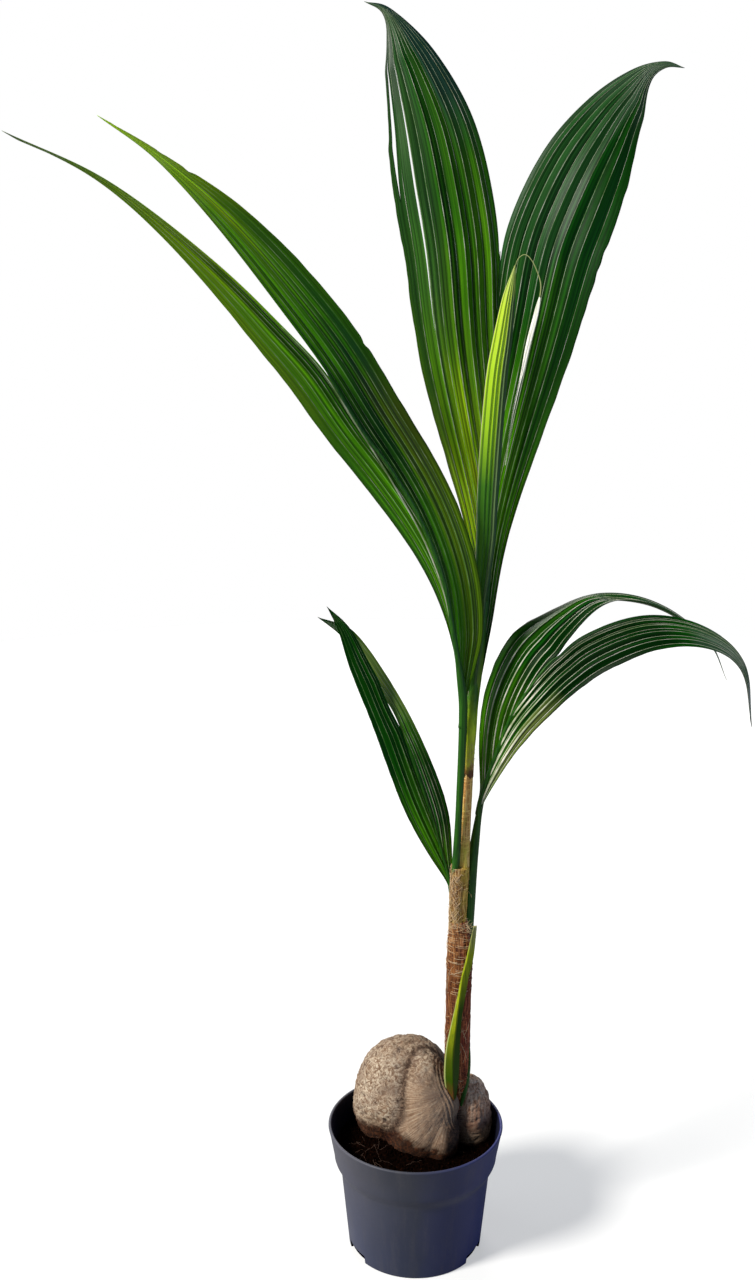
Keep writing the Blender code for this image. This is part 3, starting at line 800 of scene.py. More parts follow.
class Lobe(LobeEdges):
    """The rule for one lobe: rows along it, and on each row a place for a count of folds."""

    def __init__(self, frond, lobe, folds, seed):
        super().__init__(frond, lobe)
        self.part_lobes(*lobe.get("gap", (0, 1, 0)))
        self.width = np.linalg.norm(self.outward, axis=1)
        self.bulge = frond["bulge"]
        self.slits = lobe.get("slits", ())
        self.folds = folds
        self.cut_margin(seed, lobe.get("notches", ()))
        self.deal_folds(seed)

    def cut_margin(self, seed, notches):
        """A margin that wavers a little, with a few notches."""
        self.margin = np.array([noise.fractal(Vector((share * 22, seed * 3.7, 0)), 0.8, 2, 2)
                                for share in self.shares]) * 0.012
        for place, cut in notches:
            self.margin -= cut * np.exp(-((self.shares - place) / 0.006) ** 2)

    def deal_folds(self, seed):
        """How many folds fit on each row, how wide they are and how high each ridge stands."""
        reached = np.maximum.accumulate(self.width) / self.width.max()
        self.fold_count = self.folds * reached ** 0.45
        dealt = np.random.default_rng(seed)
        widths = dealt.uniform(0.8, 1.2, self.folds) * np.linspace(1.2, 0.8, self.folds)
        self.fold_places = np.concatenate([[0], np.cumsum(widths / widths.mean())])
        edges = 2 * self.folds + 1
        self.heights = dealt.uniform(0.5, 1.5, edges) * np.where(np.arange(edges) % 2, -1, 1)
        self.depth = np.interp(self.shares, [0, 0.3, 0.8, 1],
                               [1.8 * FOLD_DEPTH, 1.2 * FOLD_DEPTH, 0.8 * FOLD_DEPTH, 0])

    def surface(self, count, bank=0):
        """Points at a count of folds from the outer margin, for every row. At a slit the bank on
        its outer side, -1, moves out and the one on its inner side, 1, moves in."""
        place = np.interp(count, np.arange(self.folds + 1), self.fold_places)
        for slit, start, end, width in self.slits:
            opening = width * swell(self.shares, start, end) ** 1.2
            near = np.clip(1 - abs(count - slit) / SLIT_REACH, 0, 1)
            place = place + bank * 0.5 * opening[:, None] * near
        across = np.clip(1 - place / self.fold_count[:, None], 0, 1)
        pitch = (self.width / self.fold_count)[:, None]
        ridge = np.interp(count, np.arange(2 * self.folds + 1) / 2, self.heights)
        within = np.clip(self.fold_count[:, None] - place, 0, 0.5) * 2
        rise = (CUP * self.width[:, None] * 4 * across * (1 - across) * self.bulge
                + self.depth[:, None] * pitch * ridge * within)
        across = across + self.margin[:, None] * np.clip(1 - 2 * place, 0, 1)
        return (self.inner[:, None] + self.outward[:, None] * across[..., None]
                + self.face[:, None] * rise[..., None])


trial = Lobe(FRONDS["frond_small"], FRONDS["frond_small"]["lobes"]["left"], 3, seed=1)
print("folds on its first and last row:", trial.fold_count[[0, -1]].round(1))

# %% Blade of a lobe
def cleaned(mesh, turn_over=False, outside=False):
    """Joins points that coincide, then turns the faces over or all of them outwards."""
    bm = bmesh.new()
    bm.from_mesh(mesh)
    bmesh.ops.remove_doubles(bm, verts=bm.verts, dist=0.00001)
    if turn_over:
        bmesh.ops.reverse_faces(bm, faces=bm.faces)
    if outside:
        bmesh.ops.recalc_face_normals(bm, faces=bm.faces)
    bm.to_mesh(mesh)
    bm.free()
    return mesh


def blade_piece(name, lobe, finishes, replaces):
    """The thin sheet of one lobe, closed, with its fold map. A slit is a doubled column of
    points without the faces that would join them."""
    counts = np.linspace(0, lobe.folds, lobe.folds * CELLS_PER_FOLD + 1)
    bank = np.zeros(len(counts))
    faces_skipped = []
    for slit in sorted(slit[0] for slit in lobe.slits):
        spot = int(np.searchsorted(counts, slit))
        counts = np.insert(counts, spot, (slit, slit))
        bank = np.insert(bank, spot, (0, 0))
        outer_side = np.arange(len(counts)) <= spot
        bank += np.where(outer_side, -1, 1) * (abs(counts - slit) < SLIT_REACH)
        faces_skipped.append(spot)
    columns = len(counts)
    faces = grid_faces(BLADE_ROWS, columns)
    faces = faces[~np.isin(faces[:, 0] % columns, faces_skipped)]
    mesh = point_mesh(name, lobe.surface(counts[None, :], bank[None, :]), faces.tolist())
    store_map(mesh, "folds", counts[None, :], lobe.shares[:, None])
    along_edge = np.cross(np.gradient(lobe.inner, axis=0), lobe.outward)
    cleaned(mesh, turn_over=bool(np.sum(along_edge * lobe.face) < 0))
    piece = new_piece(name, mesh, finishes, replaces)
    sheet = piece.modifiers.new("sheet", "SOLIDIFY")
    sheet.thickness = BLADE_THICKNESS
    sheet.offset = 0
    sheet.material_offset = len(finishes) - 1
    return piece


print("a blade is", round(BLADE_THICKNESS * 1000, 2), "mm thick")

# %% Ribs of a lobe
def pale_line(bundle, lobe, width):
    """A pale line where one lobe comes out from under the other, as a flat strip."""
    across = np.interp(lobe.shares, (0.1, 0.2, 0.3, 0.42, 0.6), (0.04, 0.34, 0.32, 0.06, 0.02))
    rows = np.flatnonzero((lobe.shares > 0.1) & (lobe.shares < 0.6))[::2]
    course = lobe.surface(((1 - across) * lobe.fold_count)[:, None])[:, 0]
    course = smooth_rows(course + 1.8 * MM * lobe.face, 4)[rows]
    height = RIB_HEIGHT * np.interp(lobe.shares[rows], [0.1, 0.16, 0.45, 0.6], [0.3, 1.2, 1.2, 0.3])
    bundle.tube(course, height, 8, across=lobe.face[rows], flat=0.5 * width / RIB_HEIGHT)


def ribs_piece(name, lobe, width, taper, finish, edge=0):
    """The pale ribs along the ridges and valleys of one lobe, flat strips as one joined piece.
    edge is the width of the pale line at the lobe's edge, where there is one."""
    bundle = Bundle()
    if edge:
        pale_line(bundle, lobe, edge)
    for half in range(1, 2 * lobe.folds):
        count = half / 2
        place = np.interp(count, np.arange(lobe.folds + 1), lobe.fold_places)
        rows = np.flatnonzero(lobe.fold_count > place + 0.02)[::2]
        course = lobe.surface(np.array([[count]]))[rows, 0]
        shares = lobe.shares[rows]
        height = RIB_HEIGHT * np.interp(shares, [0, 0.9, 1], [1, 0.9, 0.4])
        across = width * (0.75 + 0.25 * abs(lobe.heights[half])) * smooth_stations(taper, shares)
        bundle.tube(course, height, 8, across=lobe.face[rows], flat=0.5 * across / height)
    return new_piece(name, bundle.mesh(name), [finish])


print("a rib stands", round(RIB_HEIGHT * 1000, 2), "mm proud")

# %% [markdown]
# ## Leaf colours
# No two lobes of a palm look alike: an upright lobe shows light through its foot, a lobe in the
# shade is nearly black, and an old tip is grey. One green for all of them would look like
# plastic. So a palette of a few named greens is mixed differently for each lobe: bands along it,
# and tints on some of its folds. Much of this is painted light and shade: pale bands paint light
# on a foot or a tip, dark tints paint shade on some folds, light tints paint light on others, and
# one tint paints a reflection of the sky.

# %% Palette
# Some of these greens are painted light and shade: the two palest paint light through a leaf, the
# nearly black one paints shade, the dark blue-green paints a reflection of the sky, and the
# grey-blue green is a waxy bloom with a painted sheen of the sky.
deep, fresh, lime = (0.0025, 0.050, 0.0012), (0.05, 0.20, 0.002), (0.22, 0.42, 0.005)
olive, dusk, bloom_and_sheen = (0.085, 0.115, 0.004), (0.002, 0.032, 0.002), (0.06, 0.105, 0.065)
grass, straw, sage = (0.022, 0.115, 0.002), (0.20, 0.23, 0.06), (0.16, 0.26, 0.05)
shaded_green, silver, sky_reflection = (0.001, 0.018, 0.001), (0.15, 0.21, 0.12), (0.010, 0.034, 0.030)
bright, leafy, glare = (0.42, 0.72, 0.012), (0.10, 0.28, 0.006), (0.60, 0.90, 0.03)
under = leaf_finish("leaf_underside", ((0, fresh), (0.4, grass), (0.8, deep), (1, bloom_and_sheen)),
                    roughness=0.6)


def rib_colour(name, dark, middle, light):
    """A finish for ribs, patchy along them."""
    finish = plain_finish(name, middle, 0.5)
    pattern = Pattern(finish)
    patches = pattern.grain((40, 40, 40), 3)
    pattern.finish(pattern.ramp(patches, (0.38, dark), (0.52, middle), (0.66, light)))
    return finish


pale_rib = rib_colour("pale_rib", (0.13, 0.20, 0.07), (0.30, 0.36, 0.22), (0.48, 0.50, 0.40))
green_rib = rib_colour("green_rib", (0.06, 0.17, 0.03), (0.16, 0.29, 0.09), (0.32, 0.42, 0.22))
ivory_rib = rib_colour("ivory_rib", (0.26, 0.32, 0.16), (0.48, 0.50, 0.36), (0.72, 0.70, 0.58))
print("rib finishes:", pale_rib.name, green_rib.name, ivory_rib.name)

# %% Looks of the lobes
# rib and edge are widths in millimetres; a taper is (share along, share of the rib's width).
EVEN_TAPER = ((-0.1, 1), (0.6, 0.9), (1, 0.35))
NEAR_TAPER = ((-0.1, 1.5), (0.2, 1.5), (0.34, 0.42), (0.6, 0.28), (1, 0.22))
FAR_TAPER = ((-0.1, 1), (0.3, 1), (0.45, 0.55), (0.7, 0.35), (1, 0.25))
# Painted light and shade: the palest bands paint light on a foot or a tip, the darkest tints paint
# shade on some folds, the lighter tints paint light on others, and the blue-green tint near the tip
# of the back left lobe paints a reflection of the sky.
LOBE_LOOKS = {
    "frond_front_left": dict(
        folds=3, rib=0.5, ribs=pale_rib, edge=1.3, groove=0.7, lit=(1.9, 1.9, 1.0), blotch=0.1,
        bands=((0.1, fresh), (0.3, fresh), (0.48, fresh), (0.6, leafy), (0.75, lime),
               (0.92, lime), (1, silver)),
        tints=((1.8, 3.3, 0.12, 0.4, shaded_green, 0.75), (1.4, 2.6, 0.4, 0.75, deep, 0.7),
               (0, 0.4, 0.45, 0.9, lime, 0.7))),
    "frond_front_right": dict(
        folds=5, rib=0.5, ribs=green_rib, groove=0.75, lit=(1.5, 1.7, 1.0), blotch=0.1,
        bands=((0.1, fresh), (0.25, fresh), (0.42, deep), (0.54, grass), (0.63, fresh),
               (0.76, leafy), (0.84, lime), (0.91, bright), (0.97, glare)),
        tints=((0, 2.2, 0.02, 0.5, olive, 0.6), (3, 5, 0.15, 0.5, shaded_green, 0.6),
               (0, 1.3, 0.5, 0.8, deep, 0.55))),
    "frond_back_left": dict(
        folds=6, rib=0.85, lit=(1.6, 1.4, 1.0), blotch=0.1,
        bands=((0.05, glare), (0.24, glare), (0.34, lime), (0.44, leafy), (0.58, fresh),
               (0.68, grass), (0.8, grass), (0.92, deep), (1, bloom_and_sheen)),
        tints=((0, 1.8, 0.5, 0.95, bloom_and_sheen, 0.3), (0.1, 1.0, 0.32, 0.72, deep, 0.45),
               (1.5, 2.6, 0.45, 0.9, deep, 0.5), (4, 5.5, 0.45, 0.7, leafy, 0.5),
               (3.6, 6, 0.78, 1.05, sky_reflection, 0.85))),
    "frond_back_right": dict(
        folds=6, rib=0.7, lit=(1.4, 1.3, 1.1), blotch=0.1, gloss=0.1,
        bands=((0.08, deep), (0.25, fresh), (0.42, grass), (0.6, deep), (0.85, deep),
               (1, bloom_and_sheen)),
        tints=((2, 6, 0.55, 0.95, bloom_and_sheen, 0.15), (0, 1.5, 0.3, 0.9, deep, 0.6))),
    "frond_arching_near": dict(
        folds=5, rib=1.35, ribs=ivory_rib, taper=NEAR_TAPER, glow=0.1, gloss=0.06,
        lit=(1.3, 1.3, 1.2), blotch=0.0,
        bands=((0.1, grass), (0.22, deep), (0.34, shaded_green), (0.6, shaded_green), (0.68, deep),
               (0.78, bloom_and_sheen)),
        tints=((0, 1.5, 0, 0.27, straw, 0.6),)),
    "frond_arching_far": dict(
        folds=4, rib=1.35, ribs=ivory_rib, taper=FAR_TAPER, glow=0.1, gloss=0.06,
        lit=(1.3, 1.2, 1.2), blotch=0.0,
        bands=((0.02, fresh), (0.18, fresh), (0.32, deep), (0.55, dusk), (0.64, deep),
               (0.76, bloom_and_sheen), (0.92, silver)),
        tints=((0, 1.7, 0.15, 0.6, grass, 0.5), (2.3, 4.3, 0.12, 0.6, shaded_green, 0.7))),
    "frond_small_left": dict(
        folds=3, rib=0.45, ribs=green_rib, groove=0.85, lit=(1.1, 1.2, 1.0), blotch=0.0,
        gloss=0.06,
        bands=((0.02, fresh), (0.16, fresh), (0.30, grass), (0.42, deep), (0.85, deep),
               (1, dusk))),
    "frond_small_right": dict(
        folds=3, rib=0.45, groove=0.75, lit=(1.3, 1.3, 1.0), blotch=0.1,
        bands=((0.02, fresh), (0.2, deep), (0.40, deep), (0.53, grass), (0.64, sage),
               (0.82, sage), (0.9, deep), (1, dusk))),
}
FINISH_SETTINGS = ("glow", "gloss", "lit", "blotch", "tints", "groove")
print("lobes with a look:", len(LOBE_LOOKS))

# %% Blades and ribs of every frond
for frond_name, frond in FRONDS.items():
    for side, sizes in frond["lobes"].items():
        name = frond_name + "_" + side
        look = LOBE_LOOKS[name]
        solids = [node for node in frame["nodes"] if node.startswith(name)]
        lobe = Lobe(frond, sizes, look["folds"], seed=len(name))
        extras = {key: look[key] for key in FINISH_SETTINGS if key in look}
        finish = leaf_finish(name, look["bands"], **extras)
        blade_piece(name + "_blade", lobe, [finish, under], solids)
        ribs_piece(name + "_ribs", lobe, look["rib"] * MM, look.get("taper", EVEN_TAPER),
                   look.get("ribs", pale_rib), look.get("edge", 0) * MM)
        print(name, "folds:", lobe.folds, "widest:", round(lobe.width.max() * 1000), "mm")

# %% [markdown]
# ## Midribs
# The midrib is the stiff green rod that carries both lobes, and it ends where they part. A plain
# tube along the route is enough for it, as most of it lies between the lobes. It thins towards
# its end, so that no stump shows in the cleft, and fine lines run along it.

# %% Midribs
MIDRIB_STEPS = 120
stalk_finish = plain_finish("green_stalk", (0.03, 0.12, 0.006), 0.42)
pattern = Pattern(stalk_finish)
lines = pattern.grain((700, 700, 9), 3, 0.7)
pattern.finish(pattern.ramp(lines, (0.35, (0.004, 0.045, 0.002)), (0.6, (0.02, 0.11, 0.003)),
                            (0.8, (0.06, 0.18, 0.006))), lines, 0.2 * MM, 0.5)
for frond_name, frond in FRONDS.items():
    rib = Route(frond["stalk"] + frond["midrib"])
    start, split = rib.knots[len(frond["stalk"])], rib.length
    distances = np.linspace(start - 30 * MM, split - 1 * MM, MIDRIB_STEPS)
    radii = rib_radii(frond["radii"], distances, start, split)
    radii *= np.interp(distances, (split - 25 * MM, split - 1 * MM), (1, 0.3))
    bundle = Bundle()
    bundle.tube(rib.at(distances), radii, 20, across=np.tile([0, -1, 0], (MIDRIB_STEPS, 1)))
    new_piece(frond_name + "_rib", bundle.mesh(frond_name + "_rib"), [stalk_finish],
              [frond_name + "_midrib"])
    print(frond_name, "midrib:", round((split - start) * 1000), "mm")

# %% [markdown]
# ## Pot
# A nursery pot is thin moulded plastic: a tapered wall, a step, a collar and a rounded lip, with
# drain notches round the foot. It could be built from cones and a torus, but one profile turned
# round the axis gives the wall, the lip and the inside at once. The notches are cut with
# bevelled blocks, because moulded plastic has no sharp inner corners.

# %% Turned forms
def arc(centre, radius, start, end, steps):
    """Points (radius from the axis, height) on an arc, angles in degrees."""
    angles = np.radians(np.linspace(start, end, steps))
    return np.stack([centre[0] + radius * np.cos(angles), centre[1] + radius * np.sin(angles)], -1)


def turned_mesh(name, profile, steps):
    """A profile turned round Z, closed where it meets the axis."""
    profile = np.asarray(profile, float)
    turn = np.arange(steps) * 2 * math.pi / steps
    points = np.stack([profile[:, None, 0] * np.cos(turn), profile[:, None, 0] * np.sin(turn),
                       np.broadcast_to(profile[:, None, 1], (len(profile), steps))], -1)
    faces = grid_faces(len(profile), steps, closed=True).tolist()
    return cleaned(point_mesh(name, points, faces), outside=True)


print("a quarter arc of 2 points ends at", arc((0, 0), 1, 0, 90, 2)[-1].round(2))

# %% Pot profile
POT_HEIGHT, RIM, COLLAR, STEP, BASE = 147 * MM, 95 * MM, 89 * MM, 81.5 * MM, 73 * MM
COLLAR_FOOT, STEP_HEIGHT, WALL, FLOOR = 105 * MM, 93 * MM, 1.8 * MM, 3 * MM
LIP, FOOT_ROUNDING, POT_STEPS = 1.6 * MM, 1.5 * MM, 256

outside = np.vstack([
    [(0, 0)], arc((BASE - FOOT_ROUNDING, FOOT_ROUNDING), FOOT_ROUNDING, -90, 0, 6),
    [(STEP - 0.6 * MM, STEP_HEIGHT - 6 * MM), (STEP, STEP_HEIGHT - 1 * MM),
     (STEP + 0.9 * MM, STEP_HEIGHT + 2 * MM), (STEP + 2.4 * MM, STEP_HEIGHT + 5 * MM),
     (STEP + 4.4 * MM, STEP_HEIGHT + 8.5 * MM), (COLLAR - 1.4 * MM, COLLAR_FOOT),
     (COLLAR - 0.5 * MM, COLLAR_FOOT + 3 * MM), (COLLAR, COLLAR_FOOT + 8 * MM)],
    [(RIM - 1.5 * MM, POT_HEIGHT - 8 * MM), (RIM - 0.7 * MM, POT_HEIGHT - 4.5 * MM)],
    arc((RIM - LIP, POT_HEIGHT - LIP), LIP, -20, 160, 12)])
inside = [(RIM - 2.6 * WALL, POT_HEIGHT - 6 * MM), (COLLAR - 1.6 * WALL, COLLAR_FOOT + 3 * MM),
          (STEP - WALL, STEP_HEIGHT - 3 * MM), (BASE - WALL, FLOOR), (0, FLOOR)]
pot_mesh = turned_mesh("pot_shell", np.vstack([outside, inside]), POT_STEPS)
print("pot points:", len(pot_mesh.vertices))

# %% [markdown]
# ## Pot finish
# Dark plastic that has stood outside gathers dust. One even navy would look new and lifeless. So
# the colour is a little darker and bluer towards the foot, streaks of dust run down it, the left
# side is painted paler as painted light and the right side bluer as painted shade, and the step
# is painted paler, as painted light over the shade under the collar. The inside is painted
# nearly black as painted shade.

# %% Pot plastic
# Painted light and shade: the first factors make the left side paler, the second the right side
# bluer.
LIT_SIDE_TINT, SHADED_SIDE_TINT = (2.0, 1.85, 1.7), (0.92, 1.0, 2.6)  # factors on the plastic's colour
# The first colour is painted light: a paler band over the shade under the collar.
STEP_FILL_LIGHT, DUST = (0.07, 0.075, 0.11), (0.11, 0.10, 0.10)
STEP_FILL_HEIGHT = 98.5 * MM


def pot_plastic(name, low, high, dust_share, lit_tint=(1, 1, 1), shade_tint=(1, 1, 1)):
    """Matt moulded plastic, from a colour at the foot to one at the lip, with faint dust. The left
    side is painted paler as painted light, and the right side bluer as painted shade."""
    finish = plain_finish(name, high, 0.5)
    pattern = Pattern(finish)
    place = pattern.place()
    cloud, fine = pattern.noise(place, 14, 4), pattern.noise(place, 900, 3)
    streaks = pattern.grain((90, 90, 9), 5, 0.7)
    height = pattern.drifted(pattern.part(place, 2), cloud, 0.02)
    colour = pattern.mix(pattern.range(height, 0.02, 0.14), low, high)
    # The right side is painted bluer as painted shade, and the left side paler as painted light.
    side = pattern.drifted(pattern.part(place, 0), cloud, 0.01)
    colour = pattern.tint(pattern.range(side, 0.0, 0.09), colour, shade_tint)
    colour = pattern.tint(pattern.range(side, -0.02, -0.085), colour, lit_tint)
    # A paler band at the step is painted light, over the shade under the collar.
    step = pattern.math("SUBTRACT", pattern.part(place, 2), STEP_FILL_HEIGHT)
    step_light = pattern.range(pattern.math("ABSOLUTE", step), 0.002, 0.009, 0.5, 0.0)
    colour = pattern.mix(step_light, colour, STEP_FILL_LIGHT)
    dusty = pattern.product(pattern.range(streaks, 0.5, 0.75, 0, dust_share),
                            pattern.range(fine, 0.3, 0.6))
    pattern.join(pattern.range(cloud, 0.3, 0.7, 0.38, 0.52), pattern.shader.inputs["Roughness"])
    pattern.finish(pattern.mix(dusty, colour, DUST), fine, 0.1 * MM, 0.35, gloss=0.25)
    return finish


pot_finish = pot_plastic("nursery_plastic", (0.030, 0.036, 0.066), (0.042, 0.045, 0.062), 0.3,
                         lit_tint=LIT_SIDE_TINT, shade_tint=SHADED_SIDE_TINT)
# The inside is painted nearly black as painted shade.
inner_shade_finish = pot_plastic("shaded_inner_plastic", (0.003, 0.003, 0.007), (0.007, 0.008, 0.020), 0.1)
pot = new_piece("pot_shell", pot_mesh, [pot_finish, inner_shade_finish], ["pot"])
print("pot finishes:", pot_finish.name, inner_shade_finish.name)

# %% Drain notches
NOTCH_ANGLES, NOTCH_SIZE = (62, 118, 242, 298), (33 * MM, 12 * MM, 20 * MM)

for angle in NOTCH_ANGLES:
    bpy.ops.mesh.primitive_cube_add(size=1)
    block = bpy.context.object
    block.name = "notch_block"
    block.scale = NOTCH_SIZE
    turn = math.radians(angle)
    block.location = (BASE * math.sin(turn), -BASE * math.cos(turn), 0)
    block.rotation_euler.z = turn
    bevel = block.modifiers.new("round", "BEVEL")
    bevel.width, bevel.segments = 3 * MM, 4
    notch = pot.modifiers.new("notch", "BOOLEAN")
    notch.operation, notch.object = "DIFFERENCE", block
bpy.context.view_layer.update()
cut_mesh = bpy.data.meshes.new_from_object(pot.evaluated_get(bpy.context.evaluated_depsgraph_get()))
pot.modifiers.clear()
pot.data = cut_mesh
cut_mesh.name = "pot_shell_cut"
while cut_mesh.uv_layers:  # the blocks leave a map behind that no finish reads
    cut_mesh.uv_layers.remove(cut_mesh.uv_layers[0])
for block in [thing for thing in bpy.data.objects if thing.name.startswith("notch_block")]:
    bpy.data.objects.remove(block)
cut_mesh.shade_smooth()
cut_mesh.set_sharp_from_angle(angle=math.radians(35))
# Faces turned inwards below the lip take the nearly black finish, a painted shade.
for face in cut_mesh.polygons:
    out = math.hypot(face.center.x, face.center.y)
    inward = face.center.x * face.normal.x + face.center.y * face.normal.y < 0
    below_lip = face.center.z < POT_HEIGHT - 2 * LIP
    face.material_index = int(inward and below_lip and out > 0.5 * BASE)
print("pot faces:", len(cut_mesh.polygons))

# %% [markdown]
# ## Peat
# Moist peat is nearly black and crumbly, with pale plant fibres on top. A flat disc with a bump
# texture would look painted at the pot's edge, so the surface is a fine grid of real heights: a
# little mound, two banks where the nut lies, and rough noise. The loose crumbs and fibres are
# real pieces on it, placed by chance from a seed.

# %% Peat surface
SOIL_HEIGHT, SOIL_MOUND, SOIL_BANK, SOIL_ROUGH = 118 * MM, 3 * MM, 9 * MM, 2.6 * MM
BANKS = ((-22, -24, 34, 20), (-46, -12, 24, 22))  # x, y and reach along each, in millimetres
SOIL_RIM, RINGS, SPOKES = 88 * MM, 70, 220
SOIL_SIDES = ((87 * MM, 108 * MM), (79 * MM, 92 * MM), (71 * MM, 3.4 * MM))  # radius, height


def soil_level(x, y):
    """Height of the peat, rough, a little mounded, and banked against the nut."""
    mound = SOIL_MOUND * (1 - (x * x + y * y) / SOIL_RIM ** 2)
    for bank_x, bank_y, reach_x, reach_y in BANKS:
        mound += SOIL_BANK * math.exp(-((x / MM - bank_x) / reach_x) ** 2
                                      - ((y / MM - bank_y) / reach_y) ** 2)
    rough = noise.fractal(Vector((x, y, 0)) * 70, 0.8, 2.0, 4) * SOIL_ROUGH
    return SOIL_HEIGHT + mound + rough


turn = np.arange(SPOKES) * 2 * math.pi / SPOKES
points = []
for ring in range(RINGS):
    radius = SOIL_RIM * (ring + 0.5) / RINGS
    for angle in turn:
        x, y = radius * math.cos(angle), radius * math.sin(angle)
        points.append((x, y, soil_level(x, y)))
for radius, height in SOIL_SIDES:
    points += [(radius * math.cos(angle), radius * math.sin(angle), height) for angle in turn]
rows = RINGS + len(SOIL_SIDES)
faces = grid_faces(rows, SPOKES, closed=True).tolist()
faces.append(list(range(SPOKES))[::-1])
faces.append(list(range((rows - 1) * SPOKES, rows * SPOKES)))
soil_mesh = point_mesh("peat", points, faces)
print("peat faces:", len(faces))

# %% Peat finish
peat_finish = plain_finish("moist_peat", (0.012, 0.006, 0.004), 0.95)
pattern = Pattern(peat_finish)
crumble = pattern.noise(pattern.place(), 420, 6, 0.7)
pattern.finish(pattern.ramp(crumble, (0.4, (0.0015, 0.0008, 0.0006)), (0.6, (0.005, 0.0018, 0.001)),
                            (0.75, (0.04, 0.012, 0.005))), crumble, 1.2 * MM, gloss=0.0)
new_piece("peat", soil_mesh, [peat_finish], ["soil"])
print("peat reaches", round(max(point[2] for point in points) * 1000), "mm up")

# %% Crumbs on the peat
CRUMBS, CRUMB_SIZE = 2600, 2.2 * MM

dealt = np.random.default_rng(5)
ball = bmesh.new()
bmesh.ops.create_icosphere(ball, subdivisions=1, radius=1)
ball_points = np.array([vertex.co for vertex in ball.verts])
ball_faces = np.array([[vertex.index for vertex in face.verts] for face in ball.faces])
ball.free()
crumb_points, crumb_faces = [], []
for crumb in range(CRUMBS):
    radius = SOIL_RIM * math.sqrt(dealt.uniform(0.02, 0.97))
    angle = dealt.uniform(0, 2 * math.pi)
    x, y = radius * math.cos(angle), radius * math.sin(angle)
    size = dealt.uniform(0.4, 1.0) ** 2 * CRUMB_SIZE
    lumps = ball_points * dealt.uniform(0.6, 1.3, ball_points.shape) * size
    crumb_faces.append(ball_faces + crumb * len(ball_points))
    crumb_points.append(lumps + (x, y, soil_level(x, y) + 0.2 * size))
crumbs = point_mesh("peat_crumbs", np.vstack(crumb_points), np.vstack(crumb_faces).tolist())
new_piece("peat_crumbs", crumbs, [peat_finish], smooth=False)
print("crumbs:", len(crumb_points))

# %% Fibres on the peat
FIBRES, GATHERED_FIBRES, FIBRE_STEPS, FIBRE_STEP = 34, 27, 12, 1.9 * MM

fibre_finish = plain_finish("pale_fibre", (0.10, 0.055, 0.038), 0.8)
strands = Bundle()
for strand in range(FIBRES):
    x, y = dealt.normal(-52, 16) * MM, dealt.normal(-28, 24) * MM
    if strand >= GATHERED_FIBRES:
        x, y = dealt.uniform(-70, 70, 2) * MM
    if math.hypot(x, y) > 80 * MM:
        continue
    heading, curl = dealt.uniform(0, 2 * math.pi), dealt.uniform(-0.14, 0.14)
    course = []
    for step in range(FIBRE_STEPS):
        lift = math.sin(math.pi * step / (FIBRE_STEPS - 1)) * dealt.uniform(0.5, 2.5) * MM
        course.append((x, y, soil_level(x, y) + 0.8 * MM + lift))
        x, y = x + math.cos(heading) * FIBRE_STEP, y + math.sin(heading) * FIBRE_STEP
        heading += curl
    if math.hypot(x, y) < 86 * MM:
        strands.tube(course, dealt.uniform(0.07, 0.14) * MM, 4)
new_piece("peat_fibres", strands.mesh("peat_fibres"), [fibre_finish])
print("fibre points:", strands.count)

# %% [markdown]
# ## Coconut husk
# The weathered husk has three soft ridges: a rough pale back, a smoother front with curved
# fibres, and a small side ridge, with folds where the stem comes out. Sculpting would give the
# form, but not twice the same. So a dense sphere is pushed out to the furthest of a few egg
# shapes, with a soft blend between them, and the relief is added along the same rays.

# %% Egg shapes of the husk
NUT_CENTRE = np.array((10, 24, 142)) * MM
NUT_LOBES = {  # centre and half sizes in millimetres
    "low back": ((-10, 27, 157), (58, 54, 60)), "high back": ((-9, 30, 179), (50, 46, 51.5)),
    "front": ((6, 12, 165), (38, 42, 62)), "low front": ((4, -2, 140), (42, 33, 42)),
    "snout": ((29, -10, 132), (16, 24, 25)), "neck": ((30, 2, 172), (17, 19, 20)),
    "side": ((60, 22, 138), (24.5, 29, 52)),
}


def lobe_reach(directions, lobe):
    """Distance from the nut's centre to one egg shape, along each direction."""
    offset, half = np.array(lobe[0]) * MM - NUT_CENTRE, np.array(lobe[1]) * MM
    ray, start = directions / half, offset / half
    a, b, c = (ray * ray).sum(-1), ray @ start, start @ start - 1
    inside = np.maximum(b * b - a * c, 0)
    return np.where(b * b >= a * c, np.maximum((b + np.sqrt(inside)) / a, 0), 0)


def blended(reaches, sharpness):
    """The furthest of several reaches, with a soft blend where two are alike."""
    return np.sum((np.stack(reaches) / MM) ** sharpness, 0) ** (1 / sharpness) * MM


bm = bmesh.new()
bmesh.ops.create_icosphere(bm, subdivisions=7, radius=1)
husk = bpy.data.meshes.new("husk")
bm.to_mesh(husk)
bm.free()
rays = np.empty(len(husk.vertices) * 3)
husk.vertices.foreach_get("co", rays)
rays = unit(rays.reshape(-1, 3))
reach = {name: lobe_reach(rays, lobe) for name, lobe in NUT_LOBES.items()}
back = blended([reach["low back"], reach["high back"]], 14)
front = blended([reach[name] for name in ("front", "low front", "snout", "neck")], 10)
side = reach["side"]
radius = blended([back, front, side], 30)
print("husk radius:", round(radius.min() * 1000), "to", round(radius.max() * 1000), "mm")

# %% [markdown]
# ## Husk relief
# A bump in the finish alone would leave the outline of the husk smooth like an egg. So the
# relief moves the points: pits and worm tracks on the rough back, streaks that fan out from the
# neck on the front, rings round the stem, and a groove along every seam. Each of them is a field
# of values, one a point, which is faded in where it belongs.

# %% Fields on the husk
def rising(value, start, length):
    """0 below a start, rising to 1 over a length, both in millimetres."""
    return np.clip((value - start * MM) / (length * MM), 0, 1)


